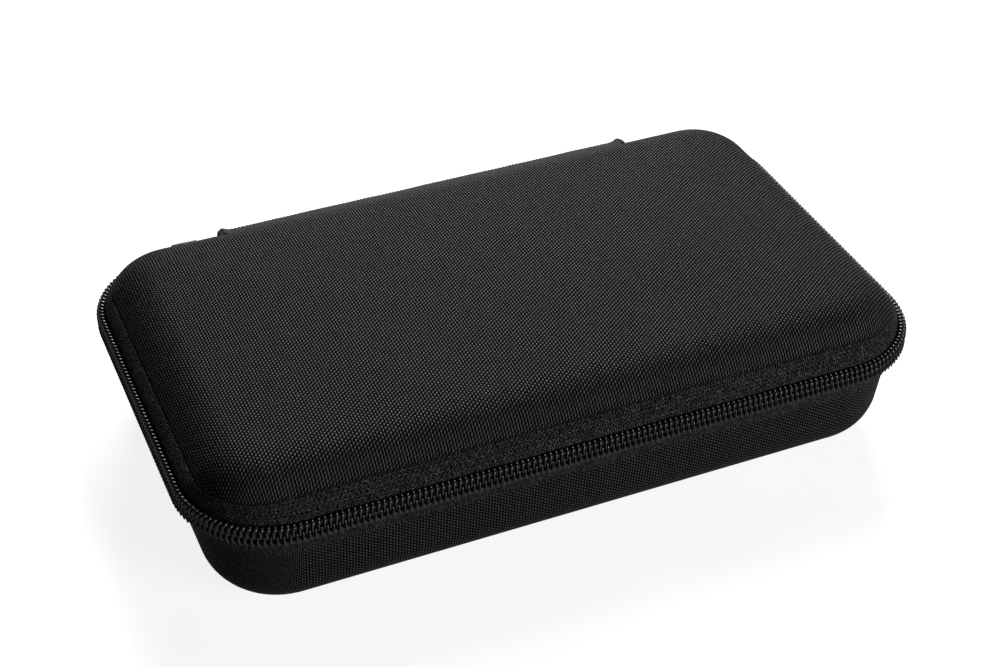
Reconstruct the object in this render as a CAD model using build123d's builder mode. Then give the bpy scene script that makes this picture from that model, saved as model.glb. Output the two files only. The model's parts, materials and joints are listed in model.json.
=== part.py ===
"""Harmonica case: two moulded shells, a coil zip round three sides and a sewn webbing hinge.

Frame: X along the length, Y across with the hinge at +Y, Z up, origin at the middle of the
floor face. The two halves part at the closing plane. Plan outlines are rounded rectangles,
given by their inset from the outer face of the zip chain, and heights are given from the
closing plane.
"""

import os
from math import radians, sqrt, tan

from build123d import *

os.makedirs("parts", exist_ok=True)

# ---- the case as a whole (mm) ----
case_length = 230.0  # over the zip chain, along X
case_width = 140.0  # over the zip chain, along Y
corner_radius = 29.5  # plan corner of the chain's outer face
base_depth = 35.0  # floor to the closing plane
shell_wall = 4.0  # moulded foam with its woven face
lining_thickness = 0.6
binding_thickness = 0.7
binding_leg = 7.0  # how far each binding reaches into its half
closing_gap = 0.3  # closing plane to each half's binding

# ---- zip ----
coil_width = 3.45  # closing plane to the outer edge of a coil row
coil_thickness = 2.6
coil_edge_round = 1.0
row_gap = 0.05  # closing plane to each coil row
tape_thickness = 0.8
tape_edge = 1.0  # closing plane to each tape's free edge
tape_bend_height = 4.5  # where each tape leaves the upright
slider_room = 2.1  # free width between tape and rim, for the slider's inner plate

# ---- lid ----
dome_edge_height = 16.0  # closing plane to the end of the shoulder curve
crown_rise = 1.8  # from there to the top
crown_inset = 27.0  # plan distance over which the crown rises
crown_corner = 1.0
shoulder_radius = 17.4
crease_height = 8.1  # where the zip tape meets the dome
side_ledge = 7.4  # crease to chain face, long sides
end_ledge = 5.75  # crease to chain face, short ends
crease_radius = 18.75

# ---- base ----
tub_inset = 4.6  # top edge of the woven wall to chain face
band_height = 9.2  # closing plane to the lower tape's bottom edge
wall_draft = 7.0  # degrees
tub_radius = 15.0  # round between wall and floor
rim_step = 5.2  # closing plane to the foot of the thinned rim

# ---- hinge strip ----
strip_left_margin = 16.5  # start of the back left corner to the strip
strip_right_margin = 10.5  # strip to the start of the back right corner
strip_thickness = 0.9
strip_proud = 1.0  # outer face beyond the chain's face
strip_flat_height = 3.0  # half height of its upright middle
strip_landing = 5.0  # height where it meets each tape
strip_upper_edge = 7.1
strip_lower_edge = 8.4
strip_lift = 0.05  # clearance to the tapes
strip_fold_length = 3.0  # folded end, twice as thick
stitch_length = 2.6
stitch_pitch = 3.6
stitch_thickness = 0.45
stitch_margin = 4.0  # strip's end to the first stitch

# ---- slider ----
slider_margin = 5.5  # start of the back left corner to the slider's middle
slider_length = 8.4
slider_plate = 1.1
slider_inner_plate = 0.8
slider_inner_height = 6.0
slider_flange = 0.55
slider_clearance = 0.35
slider_round = 1.0
post_thickness = 1.2
post_length = 2.4
slider_travel = 4.5
crown_height = 3.2  # bail above the outer plate
crown_bar = 1.2
crown_width = 1.6
crown_length = 7.0

# ---- pull ----
knuckle_clearance = 0.2
knuckle_wall = 0.75
knuckle_gap = 0.3  # to each leg of the bail
tab_length = 22.0
tab_width = 6.0
tab_thickness = 1.3
grip_start = 9.0
grip_overhang = 2.5  # beyond the tab's end
grip_thickness = 2.6
grip_width = 8.0
grip_round = 1.0

# ---- loose stretch of the upper row at the slider ----
tail_reach = 13.0  # beyond the start of the back left corner
tail_depth = 20.0  # how far its cut reaches in from the chain face
tail_gap = 0.2

# ---- inside ----
slot_width = 21.0
slot_pitch = 28.4
slot_corner = 1.5
slot_side_wall = 5.0  # least foam beside the outermost slots
slot_end_wall = 7.0  # foam at both ends of each slot, at the pad
insert_gap = 0.3
insert_recess = 7.1  # closing plane to the insert's top
pad_thickness = 5.0
net_height = 4.0  # closing plane to the pocket's net
net_thickness = 0.6
pocket_mouth = 22.0  # Y of the net's free edge
elastic_width = 6.0
elastic_thickness = 1.4

# ---- places worked out from the sizes above ----
closing = base_depth
corner_start = case_length / 2 - corner_radius
strip_left = strip_left_margin - corner_start
strip_right = corner_start - strip_right_margin
slider_centre = slider_margin - corner_start
tail_end = -corner_start - tail_reach
chain_back = case_width / 2
tape_back = coil_thickness + tape_thickness
rim_face = tape_back + slider_room
rim_bottom = closing_gap + binding_thickness
crease_length = case_length - 2 * end_ledge
crease_width = case_width - 2 * side_ledge
shoulder_centre = dome_edge_height - shoulder_radius
dome_overhang = shoulder_radius - sqrt(
    shoulder_radius**2 - (crease_height - shoulder_centre) ** 2
)
ledge_slope = (crease_height - tape_bend_height) / (side_ledge - coil_thickness)
ledge_drop = tape_thickness * sqrt(1 + ledge_slope**2)
under_bend_height = tape_bend_height + ledge_slope * tape_thickness - ledge_drop
under_crease_height = crease_height - ledge_drop
band_lean = (tub_inset - tape_back) / (band_height - tape_bend_height)


# ---------------------------------------------------------------- outlines and blocks
def plan(inset, mode=Mode.ADD):
    """Outline parallel to the chain's outer face."""
    RectangleRounded(
        case_length - 2 * inset, case_width - 2 * inset, corner_radius - inset, mode=mode
    )


def crease_plan(growth, corner=None):
    """Outline parallel to the crease between the zip tape and the dome."""
    RectangleRounded(
        crease_length + 2 * growth,
        crease_width + 2 * growth,
        corner or crease_radius + growth,
    )


def level(height):
    """Plane at a height above the closing plane."""
    return Plane.XY.offset(closing + height)


def dome_block(wall):
    """The lid's dome moved inwards by wall, solid, from the closing plane up."""
    top = dome_edge_height - wall
    foot = shoulder_centre - shell_wall
    shoulder_end = dome_overhang - shoulder_radius
    with BuildPart() as block:
        with BuildSketch(level(foot)):
            crease_plan(dome_overhang - wall)
        extrude(amount=top - foot)
        fillet(block.faces().sort_by(Axis.Z)[-1].edges(), shoulder_radius - wall)
        with BuildSketch(level(top)):
            crease_plan(shoulder_end)
        with BuildSketch(level(top + crown_rise)):
            crease_plan(shoulder_end - crown_inset, crown_corner)
        loft(ruled=True)
        split(bisect_by=level(0), keep=Keep.TOP)
    return block.part


def ledge_block(inset, bend, top):
    """Solid under one face of the upper tape: upright, then sloping in to the crease."""
    with BuildPart() as block:
        with BuildSketch(level(0)):
            plan(inset)
        extrude(amount=bend)
        with BuildSketch(level(bend)):
            plan(inset)
        with BuildSketch(level(top)):
            crease_plan(0)
        loft(ruled=True)
    return block.part


def band_block(inset):
    """Solid under one face of the lower tape: upright, then leaning in to its edge."""
    lean = band_lean * (band_height - tape_bend_height)
    with BuildPart() as block:
        with BuildSketch(level(-tape_bend_height)):
            plan(inset)
        extrude(amount=tape_bend_height - tape_edge)
        with BuildSketch(level(-tape_bend_height)):
            plan(inset)
        with BuildSketch(level(-band_height)):
            plan(inset + lean)
        loft(ruled=True)
    return block.part


def tub_block(wall):
    """The base moved inwards by wall, solid, with draft and a rounded floor edge."""
    with BuildPart() as block:
        with BuildSketch(level(-band_height)):
            plan(tub_inset + wall)
        extrude(amount=-(base_depth - band_height - wall), taper=wall_draft)
        fillet(block.faces().sort_by(Axis.Z)[0].edges(), tub_radius - wall)
        with BuildSketch(level(-band_height)):
            plan(tub_inset + wall)
        extrude(amount=band_height)
    return block.part


def row_block():
    """Closed ring of one coil row, above the closing plane."""
    with BuildPart() as ring:
        with BuildSketch(level(row_gap)):
            plan(0)
            plan(coil_thickness, Mode.SUBTRACT)
        extrude(amount=coil_width - row_gap)
        fillet(ring.edges(), coil_edge_round)
    return ring.part


def back_block(left, right, half_height):
    """Block round the chain between two X places at the back of the case."""
    with BuildPart() as block:
        with BuildSketch(level(-half_height)):
            with Locations(((left + right) / 2, chain_back - tail_depth / 2)):
                Rectangle(right - left, tail_depth)
        extrude(amount=2 * half_height)
    return block.part


def write(builder, label):
    """Label a finished piece and write it out."""
    builder.part.label = label
    export_step(builder.part, f"parts/{label}.step")


lid_cavity = dome_block(shell_wall)
lid_lined = dome_block(shell_wall + lining_thickness)
lid_bound = dome_block(shell_wall + binding_thickness)
tub_cavity = tub_block(shell_wall)
tub_lined = tub_block(shell_wall + lining_thickness)
tub_bound = tub_block(shell_wall + binding_thickness)
tub_insert = tub_block(shell_wall + lining_thickness + insert_gap)
under_tape = ledge_block(tape_back, under_bend_height, under_crease_height)

# ---------------------------------------------------------------- lid half
with BuildPart() as dome_top:
    add(dome_block(0))
    split(bisect_by=level(crease_height), keep=Keep.TOP)

with BuildPart() as crease_slab:
    with BuildSketch(level(under_crease_height)):
        crease_plan(0)
    extrude(amount=ledge_drop)

with BuildPart() as lid_shell:
    add(under_tape)
    with BuildSketch(level(0)):
        plan(rim_face)
    extrude(amount=crease_height, mode=Mode.INTERSECT)
    add(crease_slab.part)
    add(dome_top.part)
    add(lid_cavity, mode=Mode.SUBTRACT)
    split(bisect_by=level(rim_bottom), keep=Keep.TOP)
write(lid_shell, "lid_shell")

with BuildPart() as lid_lining:
    add(lid_cavity)
    add(lid_lined, mode=Mode.SUBTRACT)
    split(bisect_by=level(binding_leg), keep=Keep.TOP)
write(lid_lining, "lid_lining")

with BuildPart() as lid_binding:
    add(lid_cavity)
    split(bisect_by=level(binding_leg), keep=Keep.BOTTOM)
    with BuildSketch(level(0)):
        plan(rim_face)
    extrude(amount=rim_bottom)
    add(lid_bound, mode=Mode.SUBTRACT)
    split(bisect_by=level(closing_gap), keep=Keep.TOP)
write(lid_binding, "lid_binding")

with BuildPart() as upper_tape_ring:
    add(ledge_block(coil_thickness, tape_bend_height, crease_height))
    add(under_tape, mode=Mode.SUBTRACT)
    add(crease_slab.part, mode=Mode.SUBTRACT)
    split(bisect_by=level(tape_edge), keep=Keep.TOP)

with BuildPart() as upper_zip_tape:
    add(upper_tape_ring.part)
    add(back_block(tail_end, strip_left, base_depth), mode=Mode.SUBTRACT)
write(upper_zip_tape, "upper_zip_tape")

with BuildPart() as upper_zip_coil:
    add(row_block())
    add(back_block(tail_end, strip_right + tail_gap, base_depth), mode=Mode.SUBTRACT)
write(upper_zip_coil, "upper_zip_coil")

with BuildPart() as mesh_pocket:
    add(lid_bound)
    with BuildSketch(level(net_height)):
        with Locations((0, pocket_mouth - case_width / 2)):
            Rectangle(case_length, case_width)
    extrude(amount=net_thickness, mode=Mode.INTERSECT)
write(mesh_pocket, "mesh_pocket")

with BuildPart() as pocket_elastic:
    add(lid_bound)
    with BuildSketch(level(net_height + (net_thickness - elastic_thickness) / 2)):
        with Locations((0, pocket_mouth + elastic_width / 2)):
            Rectangle(case_length, elastic_width)
    extrude(amount=elastic_thickness, mode=Mode.INTERSECT)
write(pocket_elastic, "pocket_elastic")

# ---------------------------------------------------------------- base half
with BuildPart() as base_shell:
    add(tub_block(0))
    with BuildSketch(level(-rim_step)):
        plan(0)
        plan(rim_face, Mode.SUBTRACT)
    extrude(amount=rim_step, mode=Mode.SUBTRACT)
    add(tub_cavity, mode=Mode.SUBTRACT)
    split(bisect_by=level(-rim_bottom), keep=Keep.BOTTOM)
write(base_shell, "base_shell")

with BuildPart() as base_lining:
    add(tub_cavity)
    add(tub_lined, mode=Mode.SUBTRACT)
    split(bisect_by=level(-binding_leg), keep=Keep.BOTTOM)
write(base_lining, "base_lining")

with BuildPart() as base_binding:
    add(tub_cavity)
    split(bisect_by=level(-binding_leg), keep=Keep.TOP)
    with BuildSketch(level(0)):
        plan(rim_face)
    extrude(amount=-rim_bottom)
    add(tub_bound, mode=Mode.SUBTRACT)
    split(bisect_by=level(-closing_gap), keep=Keep.BOTTOM)
write(base_binding, "base_binding")

with BuildPart() as lower_zip_tape:
    add(band_block(coil_thickness))
    add(band_block(tape_back), mode=Mode.SUBTRACT)
write(lower_zip_tape, "lower_zip_tape")

# the rows part round the slider's post, over all of its travel
post_start = slider_centre + slider_length / 2 - post_length
parting_start = post_start - slider_travel - tail_gap
parting_height = post_thickness / 2 + slider_clearance

with BuildPart() as lower_zip_coil:
    add(row_block())
    mirror(about=level(0), mode=Mode.REPLACE)
    add(
        back_block(strip_left - tail_gap, strip_right + tail_gap, base_depth),
        mode=Mode.SUBTRACT,
    )
    add(back_block(parting_start, strip_left, parting_height), mode=Mode.SUBTRACT)
write(lower_zip_coil, "lower_zip_coil")

tail_block = back_block(tail_end + tail_gap, strip_left - tail_gap, base_depth)

with BuildPart() as upper_tape_tail:
    add(upper_tape_ring.part)
    add(tail_block, mode=Mode.INTERSECT)
write(upper_tape_tail, "upper_tape_tail")

with BuildPart() as upper_coil_tail:
    add(row_block())
    add(tail_block, mode=Mode.INTERSECT)
    add(back_block(parting_start, strip_left, parting_height), mode=Mode.SUBTRACT)
write(upper_coil_tail, "upper_coil_tail")

# ---------------------------------------------------------------- foam insert
pad_top = shell_wall + lining_thickness + insert_gap + pad_thickness - base_depth
draft_at_pad = (-pad_top - band_height) * tan(radians(wall_draft))
insert_inset = tub_inset + draft_at_pad + shell_wall + lining_thickness + insert_gap
insert_length = case_length - 2 * insert_inset
slot_length = case_width - 2 * (insert_inset + slot_end_wall)
slot_count = 1 + int((insert_length - 2 * slot_side_wall - slot_width) / slot_pitch)

with BuildPart() as insert_pad:
    add(tub_insert)
    split(bisect_by=level(pad_top), keep=Keep.BOTTOM)
write(insert_pad, "insert_pad")

with BuildPart() as foam_insert:
    add(tub_insert)
    split(bisect_by=level(pad_top), keep=Keep.TOP)
    split(bisect_by=level(-insert_recess), keep=Keep.BOTTOM)
    with BuildSketch(level(pad_top)):
        with GridLocations(slot_pitch, 0, slot_count, 1):
            RectangleRounded(slot_width, slot_length, slot_corner)
    extrude(amount=-pad_top - insert_recess, mode=Mode.SUBTRACT)
write(foam_insert, "foam_insert")


# ---------------------------------------------------------------- hinge strip
def lower_face(height):
    """Y of the lower tape's outer face at a height below the closing plane."""
    return chain_back - coil_thickness - band_lean * (height - tape_bend_height)


def upper_face(height):
    """Y of the upper tape's outer face at a height above the closing plane."""
    return chain_back - coil_thickness - (height - tape_bend_height) / ledge_slope


strip_inner_face = chain_back + strip_proud - strip_thickness
strip_points = [
    (lower_face(strip_lower_edge) + strip_lift, closing - strip_lower_edge),
    (lower_face(strip_landing) + strip_lift, closing - strip_landing),
    (strip_inner_face, closing - strip_flat_height),
    (strip_inner_face, closing + strip_flat_height),
    (upper_face(strip_landing) + strip_lift, closing + strip_landing),
    (upper_face(strip_upper_edge) + strip_lift, closing + strip_upper_edge),
]


def strip_run(start, end, thickness):
    """Length of the strip between two X places."""
    with BuildPart() as run:
        with BuildSketch(Plane.YZ.offset(start)):
            with BuildLine():
                Polyline(strip_points)
                offset(amount=thickness, side=Side.RIGHT)
            make_face()
        extrude(amount=end - start)
    return run.part


with BuildPart() as hinge_strip:
    add(strip_run(strip_left, strip_right, strip_thickness))
    add(strip_run(strip_left, strip_left + strip_fold_length, 2 * strip_thickness))
    add(strip_run(strip_right - strip_fold_length, strip_right, 2 * strip_thickness))
write(hinge_strip, "hinge_strip")

stitch_run = strip_right - strip_left - 2 * (strip_fold_length + stitch_margin)
stitch_count = int(stitch_run / stitch_pitch)


def stitch_plane(start, end):
    """Plane on the strip's outer face, midway between two of its section's points."""
    rise = Vector(0, end[0] - start[0], end[1] - start[1])
    outward = rise.cross(Vector(1, 0, 0)).normalized()
    if outward.Y < 0:
        outward = -outward
    middle = Vector(
        (strip_left + strip_right) / 2, (start[0] + end[0]) / 2, (start[1] + end[1]) / 2
    )
    return Plane(origin=middle + outward * strip_thickness, x_dir=(1, 0, 0), z_dir=outward)


with BuildPart() as hinge_stitches_upper:
    with BuildSketch(stitch_plane(strip_points[-2], strip_points[-1])):
        with GridLocations(stitch_pitch, 0, stitch_count, 1):
            SlotOverall(stitch_length, stitch_thickness)
    extrude(amount=stitch_thickness)
write(hinge_stitches_upper, "hinge_stitches_upper")

with BuildPart() as hinge_stitches_lower:
    with BuildSketch(stitch_plane(strip_points[0], strip_points[1])):
        with GridLocations(stitch_pitch, 0, stitch_count, 1):
            SlotOverall(stitch_length, stitch_thickness)
    extrude(amount=stitch_thickness)
write(hinge_stitches_lower, "hinge_stitches_lower")

# ---------------------------------------------------------------- slider
plate_inner_face = chain_back + slider_clearance
plate_outer_face = plate_inner_face + slider_plate
slider_height = 2 * (coil_width + slider_clearance + slider_flange)
inner_plate_face = chain_back - tape_back - slider_clearance
slider_start = slider_centre - slider_length / 2
pivot_y = plate_outer_face + crown_height - crown_bar / 2

with BuildPart() as slider_body:
    with BuildSketch(Plane.YZ.offset(slider_start)):
        with Locations(((plate_inner_face + plate_outer_face) / 2, closing)):
            Rectangle(slider_plate, slider_height)
        with Locations((inner_plate_face - slider_inner_plate / 2, closing)):
            Rectangle(slider_inner_plate, slider_inner_height)
        flange_place = (slider_height - slider_flange) / 2
        with Locations(
            (plate_inner_face - coil_thickness / 2, closing + flange_place),
            (plate_inner_face - coil_thickness / 2, closing - flange_place),
        ):
            Rectangle(coil_thickness, slider_flange)
    extrude(amount=slider_length)
    with BuildSketch(Plane.YZ.offset(post_start)):
        with Locations(((plate_inner_face + inner_plate_face) / 2, closing)):
            Rectangle(plate_inner_face - inner_plate_face, post_thickness)
    extrude(amount=post_length)
    outer_face = slider_body.faces().sort_by(Axis.Y)[-1]
    fillet(outer_face.edges(), slider_round)
    with BuildSketch(level(-crown_width / 2)):
        with Locations((slider_centre, plate_outer_face + crown_height / 2)):
            Rectangle(crown_length, crown_height)
        with Locations((slider_centre, plate_outer_face + (crown_height - crown_bar) / 2)):
            Rectangle(
                crown_length - 2 * crown_bar, crown_height - crown_bar, mode=Mode.SUBTRACT
            )
    extrude(amount=crown_width)
write(slider_body, "slider_body")

# ---------------------------------------------------------------- pull
bar_half_diagonal = sqrt(crown_bar**2 + crown_width**2) / 2
knuckle_bore = bar_half_diagonal + knuckle_clearance
knuckle_radius = knuckle_bore + knuckle_wall
knuckle_length = crown_length - 2 * crown_bar - 2 * knuckle_gap
tab_top = -(knuckle_bore + knuckle_wall / 2)
tab_bottom = tab_top - tab_length

with BuildPart() as pull_tab:
    with BuildSketch(Plane.YZ.offset(slider_centre - knuckle_length / 2)):
        with Locations((pivot_y, closing)):
            Circle(knuckle_radius)
            Circle(knuckle_bore, mode=Mode.SUBTRACT)
    extrude(amount=knuckle_length)
    with BuildSketch(Plane.XZ.offset(-(pivot_y + tab_thickness / 2))):
        with Locations((slider_centre, closing + (tab_top + tab_bottom) / 2)):
            Rectangle(knuckle_length, tab_length)
        with Locations((slider_centre, closing + (tab_bottom - knuckle_radius) / 2)):
            RectangleRounded(tab_width, -tab_bottom - knuckle_radius, tab_thickness)
    extrude(amount=tab_thickness)
write(pull_tab, "pull_tab")

with BuildPart() as pull_grip:
    grip_height = -tab_bottom + grip_overhang - grip_start
    with BuildSketch(Plane.XZ.offset(-(pivot_y + grip_thickness / 2))):
        with Locations((slider_centre, closing - grip_start - grip_height / 2)):
            RectangleRounded(grip_width, grip_height, 2 * grip_round)
    extrude(amount=grip_thickness)
    fillet(pull_grip.faces().filter_by(Axis.Y).edges(), grip_round)
    add(pull_tab.part, mode=Mode.SUBTRACT)
write(pull_grip, "pull_grip")
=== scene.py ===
"""Harmonica case: the finish of the zipped, fabric-hinged case, laid out as an add-on.

Places are in metres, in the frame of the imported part: X along the case, Y towards the hinge,
Z up. Outlines are rounded rectangles, given by their inset from the zip chain's outer face
or by their growth from the crease between the zip tape and the dome. Heights are given from
the closing plane. Pattern coordinates (the "Weave" map) are in millimetres.
"""

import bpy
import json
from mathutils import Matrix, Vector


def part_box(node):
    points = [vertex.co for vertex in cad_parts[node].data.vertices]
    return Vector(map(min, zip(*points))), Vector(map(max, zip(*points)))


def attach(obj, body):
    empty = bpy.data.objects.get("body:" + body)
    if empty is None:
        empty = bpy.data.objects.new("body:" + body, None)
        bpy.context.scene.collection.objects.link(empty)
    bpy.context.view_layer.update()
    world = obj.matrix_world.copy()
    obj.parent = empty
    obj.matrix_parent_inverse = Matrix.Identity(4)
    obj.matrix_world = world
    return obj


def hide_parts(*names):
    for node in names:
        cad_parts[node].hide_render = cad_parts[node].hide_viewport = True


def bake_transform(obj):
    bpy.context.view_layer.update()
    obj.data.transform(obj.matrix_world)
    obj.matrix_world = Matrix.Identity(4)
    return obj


bl_info = {
    "name": "Harmonica Case Finish",
    "version": (1, 0, 0),
    "blender": (4, 5, 0),
    "location": "3D Viewport > Sidebar > Case",
    "description": "Builds the woven shells, zip, hinge strip and insides of a harmonica case",
    "category": "Object",
}

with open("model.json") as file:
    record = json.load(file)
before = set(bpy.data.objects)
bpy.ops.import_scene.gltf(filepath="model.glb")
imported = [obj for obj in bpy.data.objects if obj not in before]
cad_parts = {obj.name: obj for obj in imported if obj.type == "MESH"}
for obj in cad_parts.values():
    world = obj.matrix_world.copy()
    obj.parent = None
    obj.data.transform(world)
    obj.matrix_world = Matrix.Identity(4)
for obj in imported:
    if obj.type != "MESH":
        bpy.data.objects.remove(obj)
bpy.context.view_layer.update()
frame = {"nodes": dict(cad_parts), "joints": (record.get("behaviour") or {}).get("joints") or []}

import json
from collections import namedtuple
from math import asin, cos, pi, radians, sin, sqrt, tan

import bmesh
import bpy
from mathutils import Matrix, Vector

MM = 0.001


# ---- places read from the frame ----
def pivot(name):
    """Place of a joint."""
    return next(joint for joint in frame["joints"] if joint["name"] == name)["pos_m"]


PULL_PIVOT = Vector(pivot("pull_swing"))
CLOSING = pivot("lid_hinge")[2]  # height of the closing plane
CHAIN_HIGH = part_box("lower_zip_coil")[1]
STRIP_LOW, STRIP_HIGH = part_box("hinge_strip")
SLIDER_LOW, SLIDER_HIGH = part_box("slider_body")
GRIP_LOW, GRIP_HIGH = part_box("pull_grip")
NET_LOW, NET_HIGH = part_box("mesh_pocket")
ELASTIC_LOW, ELASTIC_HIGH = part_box("pocket_elastic")
PAD_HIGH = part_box("insert_pad")[1]

# ---- sizes shared with the frame (metres) ----
CORNER_RADIUS = 29.5 * MM
SHELL_WALL = 4.0 * MM
LINING = 0.6 * MM
BINDING = 0.7 * MM
BINDING_LEG = 7.0 * MM
CLOSING_GAP = 0.3 * MM
RIM_INSET = 5.5 * MM
COIL_WIDTH = 3.45 * MM
COIL_THICKNESS = 2.6 * MM
TRACK_RADIUS = CORNER_RADIUS - COIL_THICKNESS / 2
TAPE_THICKNESS = 0.8 * MM
TAPE_EDGE = 1.0 * MM
LOW_EDGE = 1.9 * MM  # the lower tape's edge stands further from the closing plane
TAPE_BEND = 4.5 * MM
CREASE_HEIGHT = 8.1 * MM
SIDE_LEDGE = 7.4 * MM
END_LEDGE = 5.75 * MM
CREASE_RADIUS = 18.75 * MM
SHOULDER_RADIUS = 17.4 * MM
SHOULDER_CENTRE = -1.4 * MM
CROWN_HEIGHT = 17.8 * MM
CROWN_SLOPE = radians(4.3)
TUB_INSET = 4.6 * MM
BAND_HEIGHT = 9.2 * MM
WALL_DRAFT = radians(7.0)
TUB_RADIUS = 15.0 * MM
SLIVER = 0.02 * MM  # keeps skins that lie on each other from flickering
LEAST_RADIUS = 1.0 * MM

LONG_STEPS, SHORT_STEPS, CORNER_STEPS = 24, 14, 18
SIDES = ((1, 1), (-1, 1), (-1, -1), (1, -1))  # corners in order, back right first

Outline = namedtuple("Outline", "length width radius height")  # half length, half width


# ================================================================ outlines
def plan(inset, height):
    """Outline parallel to the chain's outer face."""
    radius = max(CORNER_RADIUS - inset, LEAST_RADIUS)
    return Outline(CHAIN_HIGH.x - inset, CHAIN_HIGH.y - inset, radius, height)


def crease(growth, height):
    """Outline parallel to the crease between the zip tape and the dome."""
    return Outline(
        CHAIN_HIGH.x - END_LEDGE + growth, CHAIN_HIGH.y - SIDE_LEDGE + growth,
        max(CREASE_RADIUS + growth, LEAST_RADIUS), height,
    )


def shrunk(edge, share, height):
    """Outline drawn in from an edge to a short line along its middle."""
    reach = (edge.width - LEAST_RADIUS) * share
    radius = edge.radius + (LEAST_RADIUS - edge.radius) * share
    return Outline(edge.length - reach, edge.width - reach, radius, height)


def clamp(value, high=1.0):
    """A value kept from 0 to a highest value."""
    return min(high, max(0.0, value))


def between(first, second, share):
    """Outline part of the way from one outline to another."""
    return Outline(*(a + (b - a) * share for a, b in zip(first, second)))


def round_stations():
    """Corner number, direction and share of the straight after it, once round an outline."""
    found = []
    for corner in range(4):
        turn = corner * pi / 2
        for step in range(CORNER_STEPS):
            found.append((corner, turn + step * pi / 2 / CORNER_STEPS, 0.0))
        straight = SHORT_STEPS if corner % 2 else LONG_STEPS
        for step in range(straight):
            found.append((corner, turn + pi / 2, step / straight))
    return found


STATIONS = round_stations()


def outward(station):
    """Unit vector away from the case at a station."""
    return Vector((cos(station[1]), sin(station[1]), 0))


def spot(outline, station):
    """Place of a station on an outline."""
    corner, _, share = station
    ends = [
        Vector((x * (outline.length - outline.radius), y * (outline.width - outline.radius)))
        for x, y in (SIDES[corner], SIDES[(corner + 1) % 4])
    ]
    middle = ends[0].lerp(ends[1], share).to_3d()
    middle.z = CLOSING + outline.height
    return middle + outward(station) * outline.radius


def rows_of(outlines):
    """Places of all stations on each outline."""
    return [[spot(outline, station) for station in STATIONS] for outline in outlines]


def track_length():
    """Length once round the chain, along the middle of the coil."""
    flat = CHAIN_HIGH.x + CHAIN_HIGH.y - 2 * CORNER_RADIUS
    return 4 * flat + 2 * pi * TRACK_RADIUS


def track(distance, inset, height):
    """Place and outward direction on the chain, a distance round from the middle of the back."""
    half = (CHAIN_HIGH.x - CORNER_RADIUS, CHAIN_HIGH.y - CORNER_RADIUS)
    left = distance % track_length()
    left += half[0]
    corner = 0
    while True:
        straight = 2 * half[corner % 2]
        here, there = SIDES[corner], SIDES[(corner + 1) % 4]
        angle = (corner + 1) * pi / 2
        if left <= straight:
            share = left / straight
            x = (here[0] + (there[0] - here[0]) * share) * half[0]
            y = (here[1] + (there[1] - here[1]) * share) * half[1]
            break
        left -= straight
        if left <= TRACK_RADIUS * pi / 2:
            angle += left / TRACK_RADIUS
            x, y = there[0] * half[0], there[1] * half[1]
            break
        left -= TRACK_RADIUS * pi / 2
        corner = (corner + 1) % 4
    away = Vector((cos(angle), sin(angle), 0))
    return Vector((x, y, CLOSING + height)) + away * (CORNER_RADIUS - inset), away


# ================================================================ meshes
def next_row(bm, row, places, closed=True):
    """Extrude a row of points edge by edge and lay the new row on its places."""
    pairs = list(zip(row, row[1:] + row[:1] if closed else row[1:]))
    edges = [bm.edges.get(pair) for pair in pairs]
    made = bmesh.ops.extrude_edge_only(bm, edges=edges)["geom"]
    fresh = {item for item in made if isinstance(item, bmesh.types.BMVert)}
    new = [next(e.other_vert(v) for e in v.link_edges if e.other_vert(v) in fresh) for v in row]
    for vert, place in zip(new, places):
        vert.co = place
    return new


def loft(rows, marks=None, closed=False, capped=False, period=None):
    """Skin through rows of places, each row closed: a circle laid on the first and extruded.

    closed joins the last row to the first, capped fills both ends, marks are the rows' weave
    coordinates, and period is the length once round of marks that run round the case."""
    bm = bmesh.new()
    if closed:
        rows = rows + rows[:1]
    row = bmesh.ops.create_circle(bm, segments=len(rows[0]), radius=1.0)["verts"]
    for vert, place in zip(row, rows[0]):
        vert.co = place
    kept = [row]
    for places in rows[1:]:
        row = next_row(bm, row, places)
        kept.append(row)
    if capped:
        for end in (kept[0], kept[-1]):
            pairs = zip(end, end[1:] + end[:1])
            bmesh.ops.edgeloop_fill(bm, edges=[bm.edges.get(pair) for pair in pairs])
    if marks:
        known = {v: m for r, ms in zip(kept, marks) for v, m in zip(r, ms)}
        lay_marks(bm, known, period)
    bmesh.ops.remove_doubles(bm, verts=bm.verts, dist=0.001 * MM)
    return bm


def lay_marks(bm, known, period=None):
    """Write weave coordinates on every face corner, unwrapping where they start again."""
    layer = bm.loops.layers.uv.new("Weave")
    for face in bm.faces:
        low = min(known[loop.vert][0] for loop in face.loops)
        high = max(known[loop.vert][0] for loop in face.loops)
        split = period and high - low > period / 2
        for loop in face.loops:
            u, v = known[loop.vert]
            if split and u < period / 2:
                u += period
            loop[layer].uv = (u, v)


def tube(path, radius, sides=6, cyclic=False, swell=None):
    """Mesh of a round wire along a path. swell gives the wire's relative thickness."""
    curve = bpy.data.curves.new("wire", "CURVE")
    curve.dimensions = "3D"
    curve.bevel_depth = radius
    curve.bevel_resolution = (sides - 4) // 2
    curve.use_fill_caps = not cyclic
    spline = curve.splines.new("POLY")
    spline.points.add(len(path) - 1)
    for index, (point, place) in enumerate(zip(spline.points, path)):
        point.co = (*place, 1)
        point.radius = swell[index] if swell else 1.0
    spline.use_cyclic_u = cyclic
    carrier = bpy.data.objects.new("wire", curve)
    bpy.context.scene.collection.objects.link(carrier)
    mesh = bpy.data.meshes.new_from_object(carrier)
    bpy.data.objects.remove(carrier)
    bpy.data.curves.remove(curve)
    return mesh


def add_tube(bm, *args, **settings):
    """Add a wire to a bmesh and return its new points."""
    mesh = tube(*args, **settings)
    before = set(bm.verts)
    bm.from_mesh(mesh)
    bpy.data.meshes.remove(mesh)
    return [vert for vert in bm.verts if vert not in before]


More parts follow.
